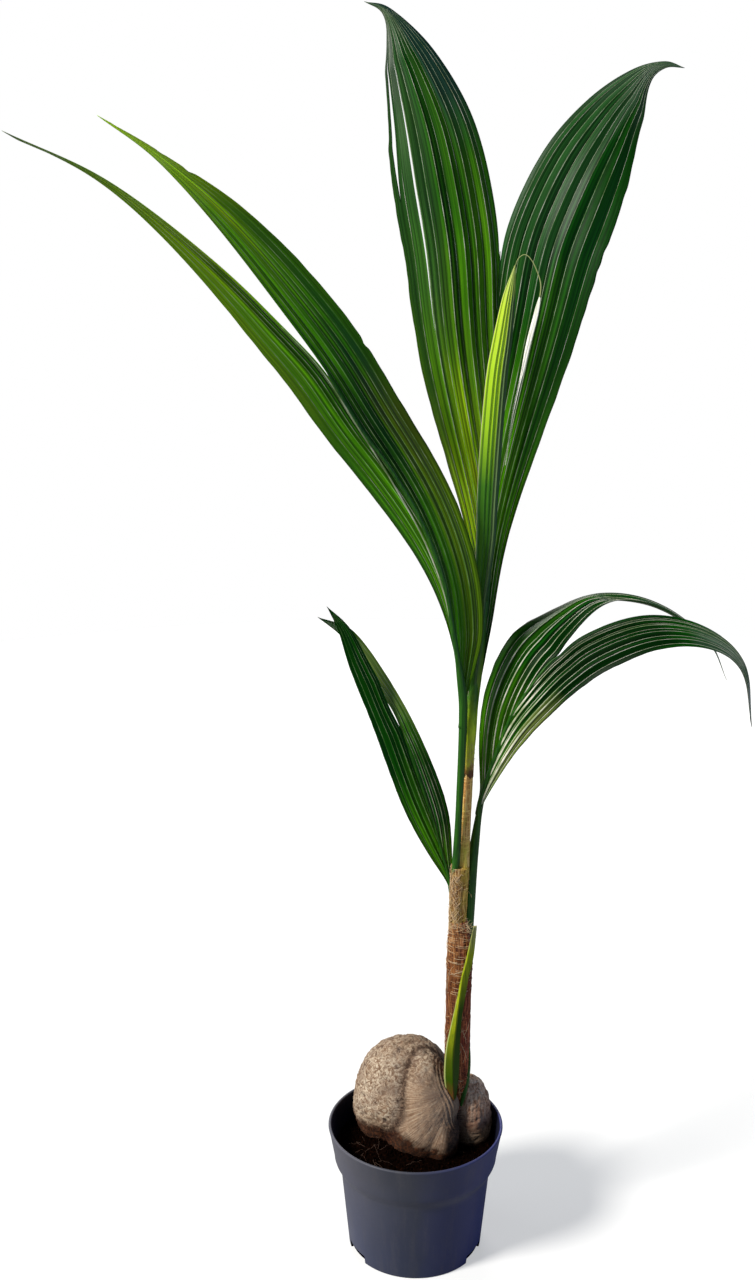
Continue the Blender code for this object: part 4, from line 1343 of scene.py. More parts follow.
def seam(first, second, width):
    """1 where two lobes meet and both stand out, fading to 0 over a width in millimetres."""
    meets = np.exp(-((first - second) / (width * MM)) ** 2)
    return meets * np.clip((np.maximum(first, second) - radius) / (3 * MM) + 1.6, 0, 1)


skin = NUT_CENTRE + rays * radius[:, None]
crease = np.maximum.reduce([seam(back, front, 4.6), seam(front, side, 4.6), seam(back, side, 2.0)])
crease = crease * np.clip((250 * MM - skin[:, 2]) / (40 * MM), 0.15, 1)
on_front = rising(front - back, 0, 3) * rising(front - side, 0, 3)
on_front = on_front * np.clip((222 * MM - skin[:, 2]) / (30 * MM), 0, 1)
print("points on the front ridge:", int((on_front > 0.5).sum()))

# %% Noise on the husk
NECK, STEM = np.array((42, -6, 196)) * MM, (44 * MM, 1 * MM)


def skin_noise(scale, shift=0.0, octaves=1):
    """Noise on the husk at a scale in waves a metre."""
    move = Vector((shift,) * 3)
    if octaves == 1:
        return np.array([noise.noise(Vector(spot) * scale + move) for spot in skin])
    return np.array([noise.fractal(Vector(spot) * scale + move, 0.7, 2.1, octaves)
                     for spot in skin])


fan_turn = np.arctan2(skin[:, 0] - NECK[0], NECK[2] - skin[:, 2])
fan_reach = np.linalg.norm(skin - NECK, axis=1)
rough, broad = skin_noise(110, 0, 4), skin_noise(36, 2)
pits = np.clip(skin_noise(120, 5) - 0.6, 0, 1)
worms = 1 - np.clip(np.abs(skin_noise(100, 8) + 0.3 * skin_noise(260, 3)) / 0.10, 0, 1)
streaks = np.array([noise.fractal(Vector((turn * 11, distance * 28, 3)), 0.8, 2, 3)
                    for turn, distance in zip(fan_turn, fan_reach)])
stem_reach = np.hypot(skin[:, 0] - STEM[0], skin[:, 1] - STEM[1])
collar = np.exp(-((stem_reach - 20 * MM) / (7 * MM)) ** 2) * (skin[:, 2] > 150 * MM)
rings = np.sin(stem_reach / MM * 1.5 + broad * 4) * collar
print("share of the skin in worm tracks:", round(float((worms > 0).mean()), 2))

# %% Relief of the husk
relief = (1.0 - 0.85 * on_front) * (rough * 1.3 - worms * 1.3) * MM
relief = relief + broad * (1.8 - 0.8 * on_front) * MM
relief += (streaks * 0.2 + rough * 0.25) * MM * on_front + rings * 0.8 * MM - crease * 2.4 * MM
relief -= pits * 8 * MM * (1 - on_front)
skin = NUT_CENTRE + rays * (radius + relief)[:, None]
husk.vertices.foreach_set("co", skin.ravel())
print("relief:", round(relief.min() * 1000, 1), "to", round(relief.max() * 1000, 1), "mm")

# %% [markdown]
# ## Husk stains, painted shade and painted light
# Peat stains the foot of the husk. The valleys between the ridges and the cavity by the side
# ridge are painted nearly black, and the creases and the low end of the front ridge darker, as
# painted shade. The side that faces the key lamp is chalky and paler, partly as painted light.
# Shader nodes can't know where two ridges meet, but the points do. So each value is stored on
# the points under a name, and the finish reads it by that name.

# %% Stains, painted shade and painted light
SCARS = ((-16.5, 236.6, 2.4), (-18.6, 227, 2.0), (-12.2, 246, 1.6), (-20.8, 216, 2.2),
         (-30, 250, 1.2))  # x, z and size of dark spots on the back, in millimetres
KEY_LAMP_SIDE = np.array((-0.8, -0.35, 0.5))

height = skin[:, 2]
most_side = (side > front) * (side > back)
ground = np.array([soil_level(x, y) for x, y in skin[:, :2]])
stained_to = ground + 20 * MM + 9 * MM * np.clip((5 * MM - skin[:, 0]) / (40 * MM), 0, 1)
stained_to -= 12 * MM * most_side
soil_line = np.clip((stained_to - height) / (9 * MM) + broad * 0.9 + rough * 0.6, 0, 1)
side_foot = np.clip((112 * MM - height) / (20 * MM), 0, 1) * most_side
snout_shade = on_front * rising(skin[:, 0], 27, 7)
snout_shade *= np.clip((166 * MM - height) / (12 * MM), 0, 1)
# Painted shade: the cavity by the side ridge and the seams are painted nearly black.
cavity = np.exp(-((front - side) / (13 * MM)) ** 2)
cavity = cavity * np.clip((182 * MM - height) / (20 * MM), 0, 1)
cavity *= np.clip((54 * MM - skin[:, 0]) / (6 * MM), 0, 1) * (skin[:, 1] < 30 * MM)
valley = np.maximum.reduce([0.85 * seam(back, front, 2.6), seam(front, side, 4.0), cavity])
on_side = rising(side - front, 0, 3) * rising(height, 130, 20)
# The side facing the key lamp is paler: chalky weathering, and painted light.
pale = np.clip(unit(skin - NUT_CENTRE) @ unit(KEY_LAMP_SIDE) * 1.6 - 0.6 + broad, 0, 1)
for x, z, size in SCARS:
    spot = np.hypot(skin[:, 0] - x * MM, height - z * MM) / (size * MM)
    crease = np.maximum(crease, 2.5 * np.exp(-spot ** 2) * (skin[:, 1] < 20 * MM))
# Dark marks: pits, worm tracks, scars and ring troughs, and the creases as painted shade.
dark = np.clip(crease * 0.35 + pits * 5 * (1 - on_front)
               + worms * 0.6 * (1 - on_front) + np.clip(-rings, 0, 1) * 0.7, 0, 1)
STAINS_LIGHT_AND_SHADE = {
    "stain": np.maximum(soil_line, side_foot * 0.7), "dark_part": dark, "smooth_part": on_front,
    "pale_part": pale, "side_part": on_side,
    "valley": np.clip(valley + 0.9 * snout_shade, 0, 1),
}
for name, values in STAINS_LIGHT_AND_SHADE.items():
    husk.attributes.new(name, "FLOAT", "POINT").data.foreach_set("value", values)
    print(name, "covers", round(float(np.mean(values)), 2))
store_map(husk, "fan", fan_turn, fan_reach)

# %% [markdown]
# ## Husk finish
# The stored values choose between finishes: netted grey-brown on the rough back, fibres that
# follow the fan map on the front, and warm upright streaks on the side, painted much lighter as
# painted light where the stem and the front ridge shade it. Dark marks, the painted shade in the
# creases and valleys, and the peat stain come last, because they lie over everything else.

# %% Husk finish
NETTED = ((0.34, (0.13, 0.072, 0.045)), (0.44, (0.21, 0.135, 0.085)),
          (0.53, (0.28, 0.195, 0.130)), (0.66, (0.38, 0.290, 0.205)))
SIDE_STREAKS_AND_LIGHT = ((0.38, (0.34, 0.18, 0.10)), (0.5, (0.84, 0.54, 0.36)), (0.62, (1.0, 0.78, 0.56)))
FANNED = ((0.36, (0.18, 0.096, 0.052)), (0.5, (0.34, 0.225, 0.145)), (0.64, (0.54, 0.41, 0.285)))
VALLEY_SHADE = ((0.44, (0.014, 0.007, 0.006)), (0.62, (0.11, 0.052, 0.027)))
PEAT_STAIN = ((0.46, (0.012, 0.003, 0.0015)), (0.64, (0.08, 0.022, 0.006)))
CHALK_AND_LIGHT, SIDE_FOOT, FLECK = (0.62, 0.53, 0.41), (0.17, 0.06, 0.03), (0.10, 0.055, 0.035)
PATCH, DARK_MARK_AND_SHADE = (0.17, 0.115, 0.085), (0.022, 0.014, 0.016)

husk_finish = plain_finish("weathered_husk", (0.30, 0.22, 0.16), 0.85)
pattern = Pattern(husk_finish)
swirls = pattern.noise(pattern.place(), 190, 5, 0.68, 1.6)
flecks = pattern.noise(pattern.place(), 700, 4, 0.7)
streak = pattern.grain((60, 45, 1), 5, 0.72, "fan")
patches = pattern.noise(pattern.place(), 60, 4)


def stored(name, strength):
    """A value stored on the points of the piece, times a strength."""
    value = pattern.node("Attribute", attribute_name=name).outputs["Fac"]
    return pattern.math("MULTIPLY", value, strength)


colour = pattern.ramp(swirls, *NETTED)
# A chalky pale on the side facing the key lamp, partly painted light.
chalk_and_light = stored("pale_part", pattern.range(swirls, 0.44, 0.60, 0, 0.62))
colour = pattern.mix(chalk_and_light, colour, CHALK_AND_LIGHT)
# The side ridge's streaks are painted much lighter as painted light, where the stem and the front
# ridge shade it.
streaked = pattern.ramp(pattern.grain((260, 260, 45), 4, 0.7), *SIDE_STREAKS_AND_LIGHT)
height = pattern.part(pattern.place("Object"), 2)
streaked = pattern.mix(pattern.range(height, 0.178, 0.145, 0, 0.9), streaked, SIDE_FOOT)
colour = pattern.mix(stored("side_part", 0.95), colour, streaked)
colour = pattern.mix(stored("smooth_part", 0.9), colour, pattern.ramp(streak, *FANNED))
colour = pattern.mix(pattern.range(flecks, 0.5, 0.7, 0, 0.45), colour, FLECK)
colour = pattern.mix(pattern.range(patches, 0.46, 0.66, 0, 0.55), colour, PATCH)
# The dark marks and, as painted shade, the creases.
colour = pattern.mix(stored("dark_part", pattern.range(swirls, 0.35, 0.6, 1.0, 0.45)), colour, DARK_MARK_AND_SHADE)
# Valleys, the cavity and the low end of the front ridge are painted nearly black as painted shade.
colour = pattern.mix(stored("valley", 0.92), colour, pattern.ramp(swirls, *VALLEY_SHADE))
colour = pattern.mix(stored("stain", 0.95), colour, pattern.ramp(swirls, *PEAT_STAIN))
pattern.finish(colour, pattern.math("ADD", swirls, streak), 0.8 * MM, 0.7, gloss=0.12)
new_piece("husk", husk, [husk_finish], ["coconut"])
print("husk faces:", len(husk.polygons))

# %% [markdown]
# ## Stem
# The stem is a roll of leaf bases. Old bases dry into brown woven fibre that tears at the top,
# and the young core inside is tan. A cylinder with a fibre texture would be too even: each part
# is lofted along its own route with its own widths, and streaky noise that closes round the form
# gives it a bark.

# %% Bark relief and finish
def streaky(turn, along, seed, across_scale, along_scale, octaves=3):
    """Fractal noise that closes round a form, stretched along it."""
    turn, along = np.broadcast_arrays(turn, along)
    spots = zip((np.cos(turn * 2 * math.pi) * across_scale).ravel(),
                (np.sin(turn * 2 * math.pi) * across_scale).ravel(),
                (along * along_scale + seed).ravel())
    return np.array([noise.fractal(Vector(spot), 0.8, 2.0, octaves)
                     for spot in spots]).reshape(turn.shape)


def fibre_finish(name, dark, middle, light, patch, right=(1, 1, 1), top=None):
    """Dry leaf base: fine streaks along and across, with darker or greener patches, a tint that
    multiplies its right side, which lies in shade, as painted light, and (start, end, tint) of a
    fade towards its top."""
    finish = plain_finish(name, middle, 0.8)
    pattern = Pattern(finish)
    upright, level = pattern.grain((800, 800, 45), 4, 0.7), pattern.grain((110, 110, 900), 4, 0.7)
    weave = pattern.math("MAXIMUM", upright, pattern.math("SUBTRACT", level, 0.04))
    colour = pattern.ramp(weave, (0.46, dark), (0.55, middle), (0.68, light))
    cloud = pattern.grain((60, 60, 22), 3)
    colour = pattern.mix(pattern.range(cloud, 0.48, 0.66, 0, 0.8), colour, patch)
    # The right side, which lies in shade, is painted lighter here as painted light.
    side = pattern.drifted(pattern.part(pattern.place(), 0), cloud, 0.004)
    colour = pattern.tint(pattern.range(side, 0.044, 0.052), colour, right)
    if top is not None:
        start, end, tint = top
        height = pattern.drifted(pattern.part(pattern.place(), 2), cloud, 0.01)
        colour = pattern.tint(pattern.range(height, start, end), colour, tint)
    pattern.finish(colour, weave, 0.6 * MM, 0.8, gloss=0.2)
    return finish


brown_fibre = fibre_finish("brown_fibre", (0.035, 0.008, 0.004), (0.21, 0.070, 0.018),
                           (0.44, 0.21, 0.075), (0.085, 0.014, 0.007), right=(1.7, 1.2, 1.6),
                           top=(0.335, 0.39, (1.6, 2.1, 2.6)))
tan_fibre = fibre_finish("tan_fibre", (0.09, 0.032, 0.010), (0.32, 0.18, 0.060),
                         (0.60, 0.45, 0.24), (0.22, 0.17, 0.03), right=(2.4, 2.4, 1.3))
# The core's colours are painted far lighter than tan, as painted light where the fronds and the
# front stalk shade it.
young_core = fibre_finish("young_core", (0.45, 0.18, 0.05), (0.90, 0.52, 0.17),
                          (1.0, 0.80, 0.38), (0.62, 0.52, 0.07), right=(1.1, 1.2, 1.0))
print("bark finishes:", brown_fibre.name, tan_fibre.name, young_core.name)

# %% Sheaths and core
ROUND = Section([(-math.cos(k * math.pi / 20), math.sin(k * math.pi / 20)) for k in range(40)],
                120, 0)
BARK_STEP = 0.9 * MM
SHEATH_PARTS = {  # route, (share along, radius) in millimetres, finish, slot, depth of the bark
    "outer_sheath": (((43.5, 3, 158), (44, 3, 172), (44, 2, 186), (44.2, 1, 206), (44.3, 1, 240),
                      (44.9, 0, 315), (45.2, 0, 350), (44.4, 0, 372), (43.2, 0, 390)),
                     ((0, 4), (0.06, 6.5), (0.12, 9.5), (0.2, 12.5), (0.35, 13.2), (0.68, 13.5),
                      (0.83, 13.6), (0.92, 11.8), (1, 9)), brown_fibre, "sheath", 0.8),
    "inner_sheath": (((42.6, 0, 378), (42.9, 0, 407), (43.8, -1, 440), (44.2, -1, 452)),
                     ((0, 8.8), (0.4, 9.1), (0.8, 9.4), (1, 9.6)), tan_fibre, "sheath", 0.5),
    "stem_core": (((47.5, 1, 436), (48.5, 1, 500), (50.5, 1, 555), (52.4, 0.5, 592)),
                  ((0, 6.1), (0.4, 6.2), (0.8, 5.7), (1, 5.0)), young_core, "stem", 0.3),
}
for seed, (name, (points, widths, finish, slot, depth)) in enumerate(SHEATH_PARTS.items()):
    def bark(turn, along):
        streaks = streaky(turn, along, seed, 4.0, 22) * depth * MM
        return streaks + streaky(turn, along, seed + 9, 1.2, 90, 2) * 0.35 * depth * MM

    route = Route(points)
    mesh = lofted_mesh(name + "_bark", route, widths, ROUND, int(route.length / BARK_STEP), bark)
    new_piece(name + "_bark", mesh, [finish], [name])
    print(name, "faces:", len(mesh.polygons))

# %% [markdown]
# ## Loose fibres
# Fibres wind round the sheaths, and torn ones stand off as short hairs. A hair system could grow
# them, but it isn't kept as a mesh when the plant is handed on. So each fibre is a thin tube, and
# all of them are one piece.

# %% Wound fibres
THREAD_STEPS, HAIR_STEPS = 12, 8

dealt = np.random.default_rng(11)
thread_finish = plain_finish("straw_thread", (0.58, 0.42, 0.25), 0.8)
threads = Bundle()


def wound_thread(part, share, angle, sweep, slope):
    """One fibre on a sheath part, from a share of its height and an angle, over a sweep."""
    points, widths = SHEATH_PARTS[part][:2]
    route = Route(points)
    steps = np.linspace(0, 1, THREAD_STEPS)
    shares = np.clip(share + steps * sweep * slope * 10 * MM / route.length, 0, 1)
    radius = smooth_stations(widths, shares) * MM + 0.25 * MM
    radius = radius + np.sin(steps * math.pi) * dealt.uniform(0, 0.8) * MM
    angles = angle + steps * sweep
    course = route.at(shares * route.length)
    course += np.stack([np.cos(angles) * radius, np.sin(angles) * radius, 0 * radius], -1)
    threads.tube(course, dealt.uniform(0.11, 0.25) * MM, 4)


for thread in range(150):
    wound_thread("inner_sheath", dealt.uniform(0, 1), math.radians(dealt.uniform(120, 250)),
                 dealt.uniform(0.4, 1.0), dealt.choice([-1, 1]) * dealt.uniform(0.6, 1.6))
for thread in range(120):
    wound_thread("outer_sheath", 1 - 0.35 * dealt.uniform() ** 1.4, dealt.uniform(0, 2 * math.pi),
                 dealt.uniform(0.6, 1.9), dealt.normal(0, 0.25))
for thread in range(90):
    wound_thread("outer_sheath", dealt.uniform(0.1, 0.75), dealt.uniform(0, 2 * math.pi),
                 dealt.uniform(0.2, 0.7), dealt.normal(0, 3.0))
print("wound fibre points:", threads.count)

# %% Loose hairs
def loose_hair(start, heading, length, curl):
    """A short curved hair that leaves a place in a direction, in millimetres."""
    steps = np.linspace(0, 1, HAIR_STEPS)[:, None]
    bend = np.array(curl) * steps ** 2
    course = np.array(start) + (unit(np.array(heading, float)) * steps + bend) * length
    threads.tube(course * MM, np.linspace(0.24, 0.08, HAIR_STEPS) * MM, 4)


for hair in range(26):
    spot = (dealt.uniform(49, 53), dealt.uniform(-9, -3), dealt.uniform(380, 390))
    heading = (dealt.uniform(0.2, 1), dealt.uniform(-0.7, 0), dealt.uniform(-0.5, 0.6))
    loose_hair(spot, heading, dealt.uniform(4, 9), dealt.normal(0, 0.35, 3))
for hair in range(70):
    angle, height = dealt.uniform(0, 2 * math.pi), dealt.uniform(372, 452)
    out = np.array((math.cos(angle), math.sin(angle), 0))
    loose_hair(np.array((43.3, 0, height)) + out * 9, out + dealt.normal(0, 0.8, 3),
               dealt.uniform(2, 5), dealt.normal(0, 0.5, 3))
for hair in range(60):
    spot = (dealt.uniform(51, 57), dealt.uniform(-6, -4), dealt.uniform(565, 592))
    loose_hair(spot, dealt.normal(0, 1, 3) + (0.2, -0.5, 0), dealt.uniform(1.5, 3.5),
               dealt.normal(0, 0.5, 3))
new_piece("sheath_threads", threads.mesh("sheath_threads"), [thread_finish])
print("fibre and hair points:", threads.count)

# %% [markdown]
# ## Leaf stalks
# A palm's leaf stalk is a strap that clasps the stem: rounded outside and channelled inside. A
# round tube would look like wire, so each one is lofted with that section, wide at its foot, and
# runs up under the blade. The back frond's stalk shows its light foot, so it has a finish of its
# own, and a torn leaf foot clasps the stem below it.

# %% Stalk finishes
def stalk_pattern(name, base, roughness, stretch):
    """A pattern on a plain finish, with fine lines along a stalk."""
    finish = plain_finish(name, base, roughness)
    pattern = Pattern(finish)
    return finish, pattern, pattern.grain(stretch, 3, 0.7)


CLASPING_BANDS = ((0.02, (0.09, 0.012, 0.01)), (0.10, (0.26, 0.22, 0.04)),
                  (0.35, (0.22, 0.32, 0.02)), (0.6, (0.12, 0.22, 0.008)),
                  (0.8, (0.02, 0.10, 0.003)))
FOOT_BANDS = ((0.03, (0.16, 0.04, 0.018)), (0.08, (0.34, 0.20, 0.035)),
              (0.15, (0.62, 0.58, 0.06)), (0.40, (0.58, 0.74, 0.02)),
              (0.56, (0.26, 0.42, 0.010)), (0.75, (0.04, 0.14, 0.004)))
clasping_finish, pattern, lines = stalk_pattern("clasping_stalk", (0.20, 0.30, 0.02), 0.45,
                                                (700, 700, 12))
along = pattern.part(pattern.place("folds"), 1)
colour = pattern.ramp(along, *CLASPING_BANDS)
colour = pattern.mix(pattern.range(lines, 0.45, 0.7, 0, 0.6), colour, (0.04, 0.10, 0.005))
pattern.finish(colour, lines, 0.2 * MM, 0.5)

foot_finish, pattern, lines = stalk_pattern("clasping_foot", (0.30, 0.36, 0.03), 0.5,
                                            (600, 600, 16))
cloud = pattern.grain((150, 150, 90), 3)
along = pattern.drifted(pattern.part(pattern.place("folds"), 1), cloud, 0.07)
colour = pattern.ramp(along, *FOOT_BANDS)
colour = pattern.mix(pattern.range(lines, 0.45, 0.7, 0, 0.6), colour, (0.05, 0.09, 0.006))
pattern.finish(colour, lines, 0.3 * MM, 0.6)
print("stalk finishes:", clasping_finish.name, foot_finish.name)

# %% Stalks
STALK_ROWS = 110
STRAP = Section([(-1, 0), (-0.75, 0.5), (-0.2, 0.85), (0.4, 0.75), (0.85, 0.35), (1, -0.1),
                 (0.6, -0.45), (0, -0.25), (-0.6, -0.4)], 60, 3)
STALKS = {  # route and evenly spaced half widths, in millimetres
    "frond_front_stalk": (((39.3, -4, 438), (39.6, -5.5, 454), (40.7, -9, 488), (42.3, -11, 540),
                           (43.6, -11.5, 580), (44.3, -12, 617), (43.3, -13, 645),
                           (37, -16, 690)), (4.2, 4.2, 3.7, 3.9, 4.2, 4.6, 4.5, 2.5)),
    "frond_back_stalk": (((51.5, -1.5, 548), (52.3, -1, 566), (53.8, 1, 597), (55.2, 2.5, 640),
                          (60, 6, 690), (66, 11, 735)), (1.2, 4.6, 5.6, 6.9, 5.7, 2.5)),
    "frond_arching_stalk": (((53, 2, 345), (53.8, 3, 380), (55.4, 4.5, 421), (57.2, 6.2, 451),
                             (60.2, 8, 481), (63.3, 8, 507), (68, 6, 536)),
                            (5.0, 6.0, 6.4, 6.2, 5.2, 3.6, 2.6)),
    "frond_small_stalk": (((40, 9, 372), (38.5, 11, 400), (35.5, 12.3, 422), (30, 12.6, 448)),
                          (3.5, 3.4, 3, 1.8)),
    "old_stalk": (((57.0, -1, 248), (57, -1.5, 225), (55.5, -2.5, 205), (52.5, -4, 186),
                   (49, -5, 170)), (0.5, 1.9, 2.8, 3, 1.5)),
}
for name, (points, widths) in STALKS.items():
    stations = list(zip(np.linspace(0, 1, len(widths)), widths))
    mesh = lofted_mesh(name, Route(points), stations, STRAP, STALK_ROWS)
    own_finish = clasping_finish if name == "frond_back_stalk" else stalk_finish
    new_piece(name, mesh, [own_finish])
print("stalks:", len(STALKS))

# %% Foot that clasps the stem
FOOT_ROUTE = ((50.4, 0.6, 553), (50.9, 0.2, 575), (51.6, -0.2, 592), (52.6, 0, 612),
              (54.5, 1.5, 645), (56, 3, 670))
FOOT_WIDTHS = ((0, 6.1), (0.25, 6.3), (0.5, 6.6), (0.8, 5.6), (1, 2.5))

mesh = lofted_mesh("clasping_foot", Route(FOOT_ROUTE), FOOT_WIDTHS, ROUND, STALK_ROWS)
spots = np.empty(len(mesh.vertices) * 3)
mesh.vertices.foreach_get("co", spots)
spots = spots.reshape(-1, 3)
torn = np.clip((585 * MM - spots[:, 2]) / (32 * MM), 0, 1)
ragged = np.array([noise.noise(Vector((x * 300, y * 300, 4))) for x, y in spots[:, :2]])
spots[:, 2] += torn * ragged * 9 * MM
mesh.vertices.foreach_set("co", spots.ravel())
new_piece("clasping_foot", mesh, [foot_finish])
print("the foot is torn over", int((torn > 0).sum()), "points")

# %% [markdown]
# ## Cut stalk
# In front of the stem stands the stalk of a frond that was cut off. It is keeled: its ridge turns
# from one side to the other on the way up, so that one face is lit and one shaded. Twisting a
# finished form would bend its edges too, so the loft leans the front of its section instead.

# %% Cut stalk finish
CUT_BANDS = ((0, (0.16, 0.05, 0.02)), (0.10, (0.11, 0.05, 0.012)), (0.17, (0.03, 0.06, 0.001)),
             (0.28, (0.055, 0.078, 0.0015)), (0.45, (0.22, 0.245, 0.004)),
             (0.62, (0.33, 0.38, 0.010)), (0.85, (0.36, 0.42, 0.012)), (1, (0.45, 0.42, 0.2)))

cut_finish, pattern, lines = stalk_pattern("cut_stalk_green", (0.06, 0.13, 0.006), 0.4,
                                           (800, 800, 14))
along = pattern.part(pattern.place("folds"), 1)
around = pattern.part(pattern.place("folds"), 0)
colour = pattern.ramp(along, *CUT_BANDS)
colour = pattern.mix(pattern.range(lines, 0.42, 0.7, 0, 0.7), colour, (0.02, 0.075, 0.003))
shaded_face = pattern.product(pattern.range(around, 0.30, 0.33), pattern.range(around, 0.66, 0.62),
                              pattern.range(along, 0.72, 0.55, 0.15, 1.0))
colour = pattern.mix(shaded_face, colour, (0.028, 0.075, 0.001))
# A pale line along the left edge is a painted highlight where the narrow lit face shows.
edge = pattern.math("ABSOLUTE", pattern.math("SUBTRACT", around, 0.03))
colour = pattern.mix(pattern.range(edge, 0.03, 0.01), colour, (0.32, 0.36, 0.12))
pattern.finish(colour, lines, 0.3 * MM, 0.5, gloss=0.08)
print("bands on the cut stalk:", len(CUT_BANDS))

# %% Cut stalk
KEELED = Section([(-1, -0.05), (-0.25, 0.95), (1, 0), (0.5, -0.5), (-0.5, -0.5)], 80, 3)
CUT_ROUTE = ((39.5, -8, 172), (38.4, -10.5, 188), (37.8, -12, 204), (38, -12.5, 222),
             (38.6, -13, 240), (40.2, -13, 259), (43.6, -13, 285), (47, -13, 307),
             (50.6, -13, 331), (55.5, -12.5, 353), (60.5, -12, 389))
CUT_WIDTHS = ((0, 2.5), (0.06, 5.2), (0.13, 7.4), (0.2, 8.5), (0.27, 8.4), (0.35, 7.6),
              (0.42, 6.4), (0.52, 5.0), (0.62, 4.5), (0.72, 4.3), (0.84, 3.9), (1, 1.9))
CUT_LEAN = ((0, 0.8), (0.12, 0.5), (0.3, 0.25), (0.45, 0.1), (0.6, -0.3), (1, -0.75))

mesh = lofted_mesh("cut_stalk_green", Route(CUT_ROUTE), CUT_WIDTHS, KEELED, STALK_ROWS,
                   lean=CUT_LEAN)
new_piece("cut_stalk_green", mesh, [cut_finish], ["cut_stalk"])
print("cut stalk:", round(Route(CUT_ROUTE).length * 1000), "mm long")

# %% [markdown]
# ## Spear
# The youngest frond is still closed: a fan folded like a paper one, lime where a fold faces the
# light and dark green between. The dark lines between the folds, and the dark right part and
# back, are painted shade, and the bright lime is partly painted light. Thin leaves laid side by
# side would leave cracks, so the spear is one loft whose section is a zigzag on a flat oval. The
# folds map tells the finish how far round a place is, and so which fold it is on.

# %% Spear finish
# The bright lime bands are the young leaf's colour and partly painted light shining through it.
SPEAR_BANDS = ((0.2, (0.02, 0.09, 0.004)), (0.56, (0.03, 0.13, 0.004)),
               (0.68, (0.26, 0.47, 0.008)), (0.8, (0.42, 0.66, 0.015)),
               (0.92, (0.56, 0.76, 0.03)), (1, (0.46, 0.52, 0.14)))
FAR_SIDE_SHADE = ((0.45, (0.010, 0.05, 0.006)), (0.58, (0.10, 0.17, 0.06)))

lime_finish = plain_finish("lime_spear", (0.30, 0.48, 0.01), 0.45)
pattern = Pattern(lime_finish)
place = pattern.place("folds")
around, along = pattern.part(place, 0), pattern.part(place, 1)
lines = pattern.grain((19, 0.5, 1), 1, 0.5, "folds")
fine = pattern.grain((260, 4, 1), 3, 0.7, "folds")
colour = pattern.ramp(along, *SPEAR_BANDS)
colour = pattern.mix(pattern.range(fine, 0.5, 0.7, 0, 0.5), colour, (0.10, 0.24, 0.006))
# Dark lines between the folds are painted shade.
fold_shade = pattern.product(pattern.range(lines, 0.53, 0.57),
                            pattern.range(around, 0.05, 0.3, 0.6, 0.9))
colour = pattern.mix(fold_shade, colour, (0.012, 0.07, 0.004))
# The right part of the front and the back are painted dark green as painted shade.
far_side_shade = pattern.product(pattern.range(around, 0.345, 0.375, 0, 0.95),
                           pattern.range(along, 0.99, 0.93))
colour = pattern.mix(far_side_shade, colour, pattern.ramp(lines, *FAR_SIDE_SHADE))
colour = pattern.mix(pattern.range(around, 0.020, 0.008), colour, (0.50, 0.42, 0.30))
pattern.finish(colour, lines, 0.3 * MM, 0.5)
print("bands on the spear:", len(SPEAR_BANDS))

# %% Spear
SPEAR_ROUTE = ((51.5, -2.5, 585.3), (53, -2.5, 640), (60, 0, 739), (64.5, 2.5, 800),
               (65.5, 4, 839), (68.5, 6, 903), (72.5, 8, 959), (77, 10.5, 992),
               (82.8, 13.5, 1033), (88, 16, 1062))
SPEAR_WIDTHS = ((0, 2.2), (0.115, 3.5), (0.32, 6), (0.42, 9), (0.53, 10.4), (0.665, 10.8),
                (0.784, 10.4), (0.853, 9.3), (0.904, 7.6), (0.94, 6), (0.985, 2), (1, 0.5))
ZIGZAG = [(-1, 0), (-0.88, 0.20), (-0.74, 0.14), (-0.30, 0.36), (-0.16, 0.22), (0.12, 0.37),
          (0.22, 0.23), (0.42, 0.34), (0.52, 0.18), (0.70, 0.27), (0.82, 0.10), (1, 0.02)]
BACK = [(u, -0.28 * math.sqrt(1 - u * u)) for u in (0.8, 0.4, 0, -0.4, -0.8)]
SPEAR_POINTS = 240  # round the section and along the route

mesh = lofted_mesh("spear_fan", Route(SPEAR_ROUTE), SPEAR_WIDTHS,
                   Section(ZIGZAG + BACK, SPEAR_POINTS, 1), SPEAR_POINTS)
new_piece("spear_fan", mesh, [lime_finish], ["spear"])
print("spear faces:", len(mesh.polygons))

# %% [markdown]
# ## Torn strip
# As a spear opens, a strip of its margin tears off and dries. Here it leaves the tip as a thread,
# arches over and hangs down as a pale ribbon that thins out again. Cloth simulation would drape
# it anew on each run, so it is laid along a route: a round tube for the thread, and three
# flattened tubes side by side for the ribbon.

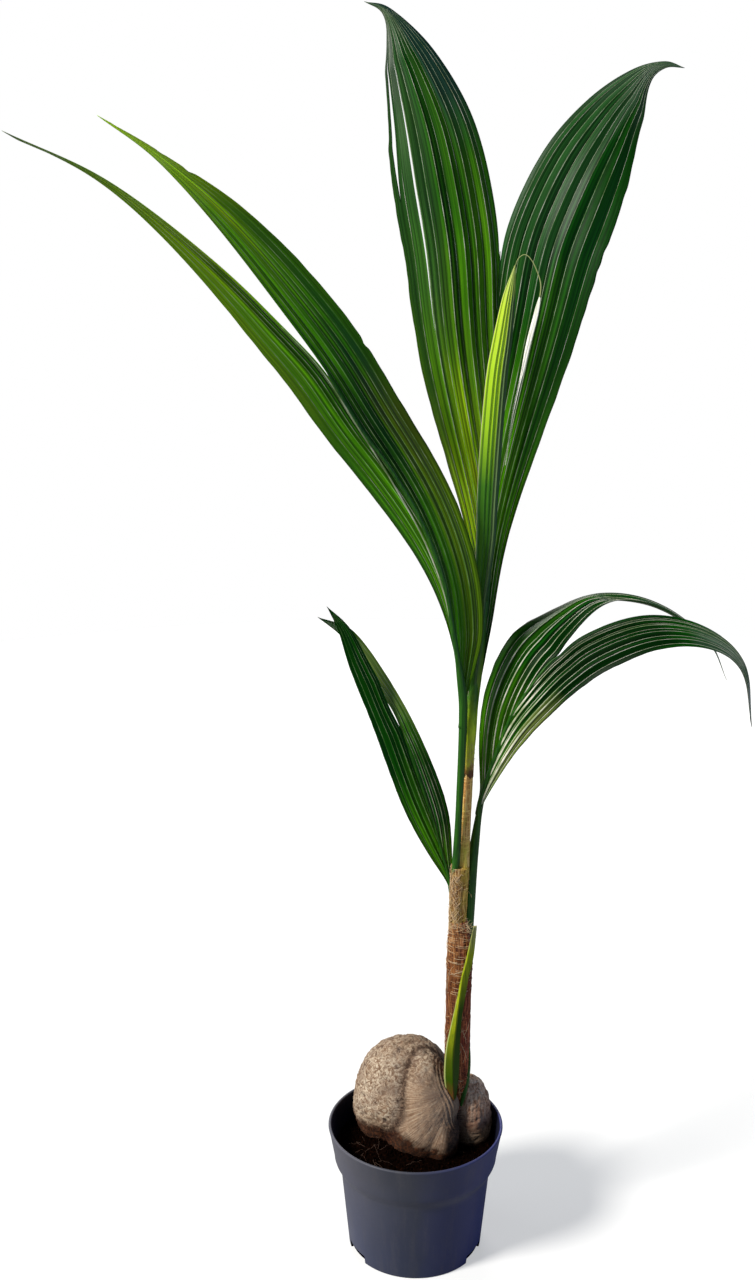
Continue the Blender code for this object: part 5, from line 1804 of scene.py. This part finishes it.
# %% Torn strip
THREAD_ROUTE = ((88, 16, 1061), (91, 15, 1068.5), (97.4, 14, 1071.8), (104, 12, 1065.4),
                (110, 11, 1052.6), (112.2, 10, 1043.3), (111.6, 10, 1033.1))
STRIP_ROUTE = ((111.6, 10, 1034), (107.5, 10, 1013.6), (101.6, 10, 988.2), (95.7, 10, 956.9),
               (89, 11, 922.3), (85.5, 15, 894.1), (84, 25, 872), (83, 33, 858))
STRIP_RADII = ((0, 0.08), (0.06, 0.3), (0.22, 0.35), (0.36, 0.24), (0.47, 0.07), (1, 0.025))
STRIP_TUBES = ((0, 0.75), (1.9, 0.3), (-1.2, 0.2))  # offset in millimetres, share of the radius
TIP_THREAD_STEPS, STRIP_STEPS = 40, 60

strip_finish = plain_finish("dry_strip", (0.62, 0.60, 0.50), 0.6)
pattern = Pattern(strip_finish)
lines = pattern.grain((260, 260, 14), 2)
pattern.finish(pattern.ramp(lines, (0.30, (0.60, 0.62, 0.45)), (0.42, (1.0, 0.99, 0.88))))
thread, strip = Route(THREAD_ROUTE), Route(STRIP_ROUTE)
thread_bundle, loop = Bundle(), Bundle()
thread_radii = np.interp(np.arange(TIP_THREAD_STEPS), (0, 15, 30, 39), (0.35, 0.4, 0.6, 0.7)) * MM
thread_bundle.tube(thread.at(np.linspace(0, thread.length, TIP_THREAD_STEPS)), thread_radii, 8)
distances = np.linspace(0, strip.length, STRIP_STEPS)
radii = smooth_stations(STRIP_RADII, distances / strip.length)
swelling = np.sin(distances / strip.length * math.pi)
for offset, share in STRIP_TUBES:
    course = strip.at(distances) + np.outer(swelling * offset * MM, (1, 0.4, 0))
    loop.tube(course, radii * share * MM, 10,
              across=np.tile([-0.25, -0.95, 0.2], (STRIP_STEPS, 1)), flat=9)
new_piece("spear_thread", thread_bundle.mesh("spear_thread"),
          [plain_finish("drying_thread", (0.34, 0.38, 0.14), 0.6)])
new_piece("spear_loop", loop.mesh("spear_loop"), [strip_finish])
print("thread:", round(thread.length * 1000), "mm, strip:", round(strip.length * 1000), "mm")

# %% [markdown]
# The dressed plant should be no larger than the solids, or it would not fit where they fit.
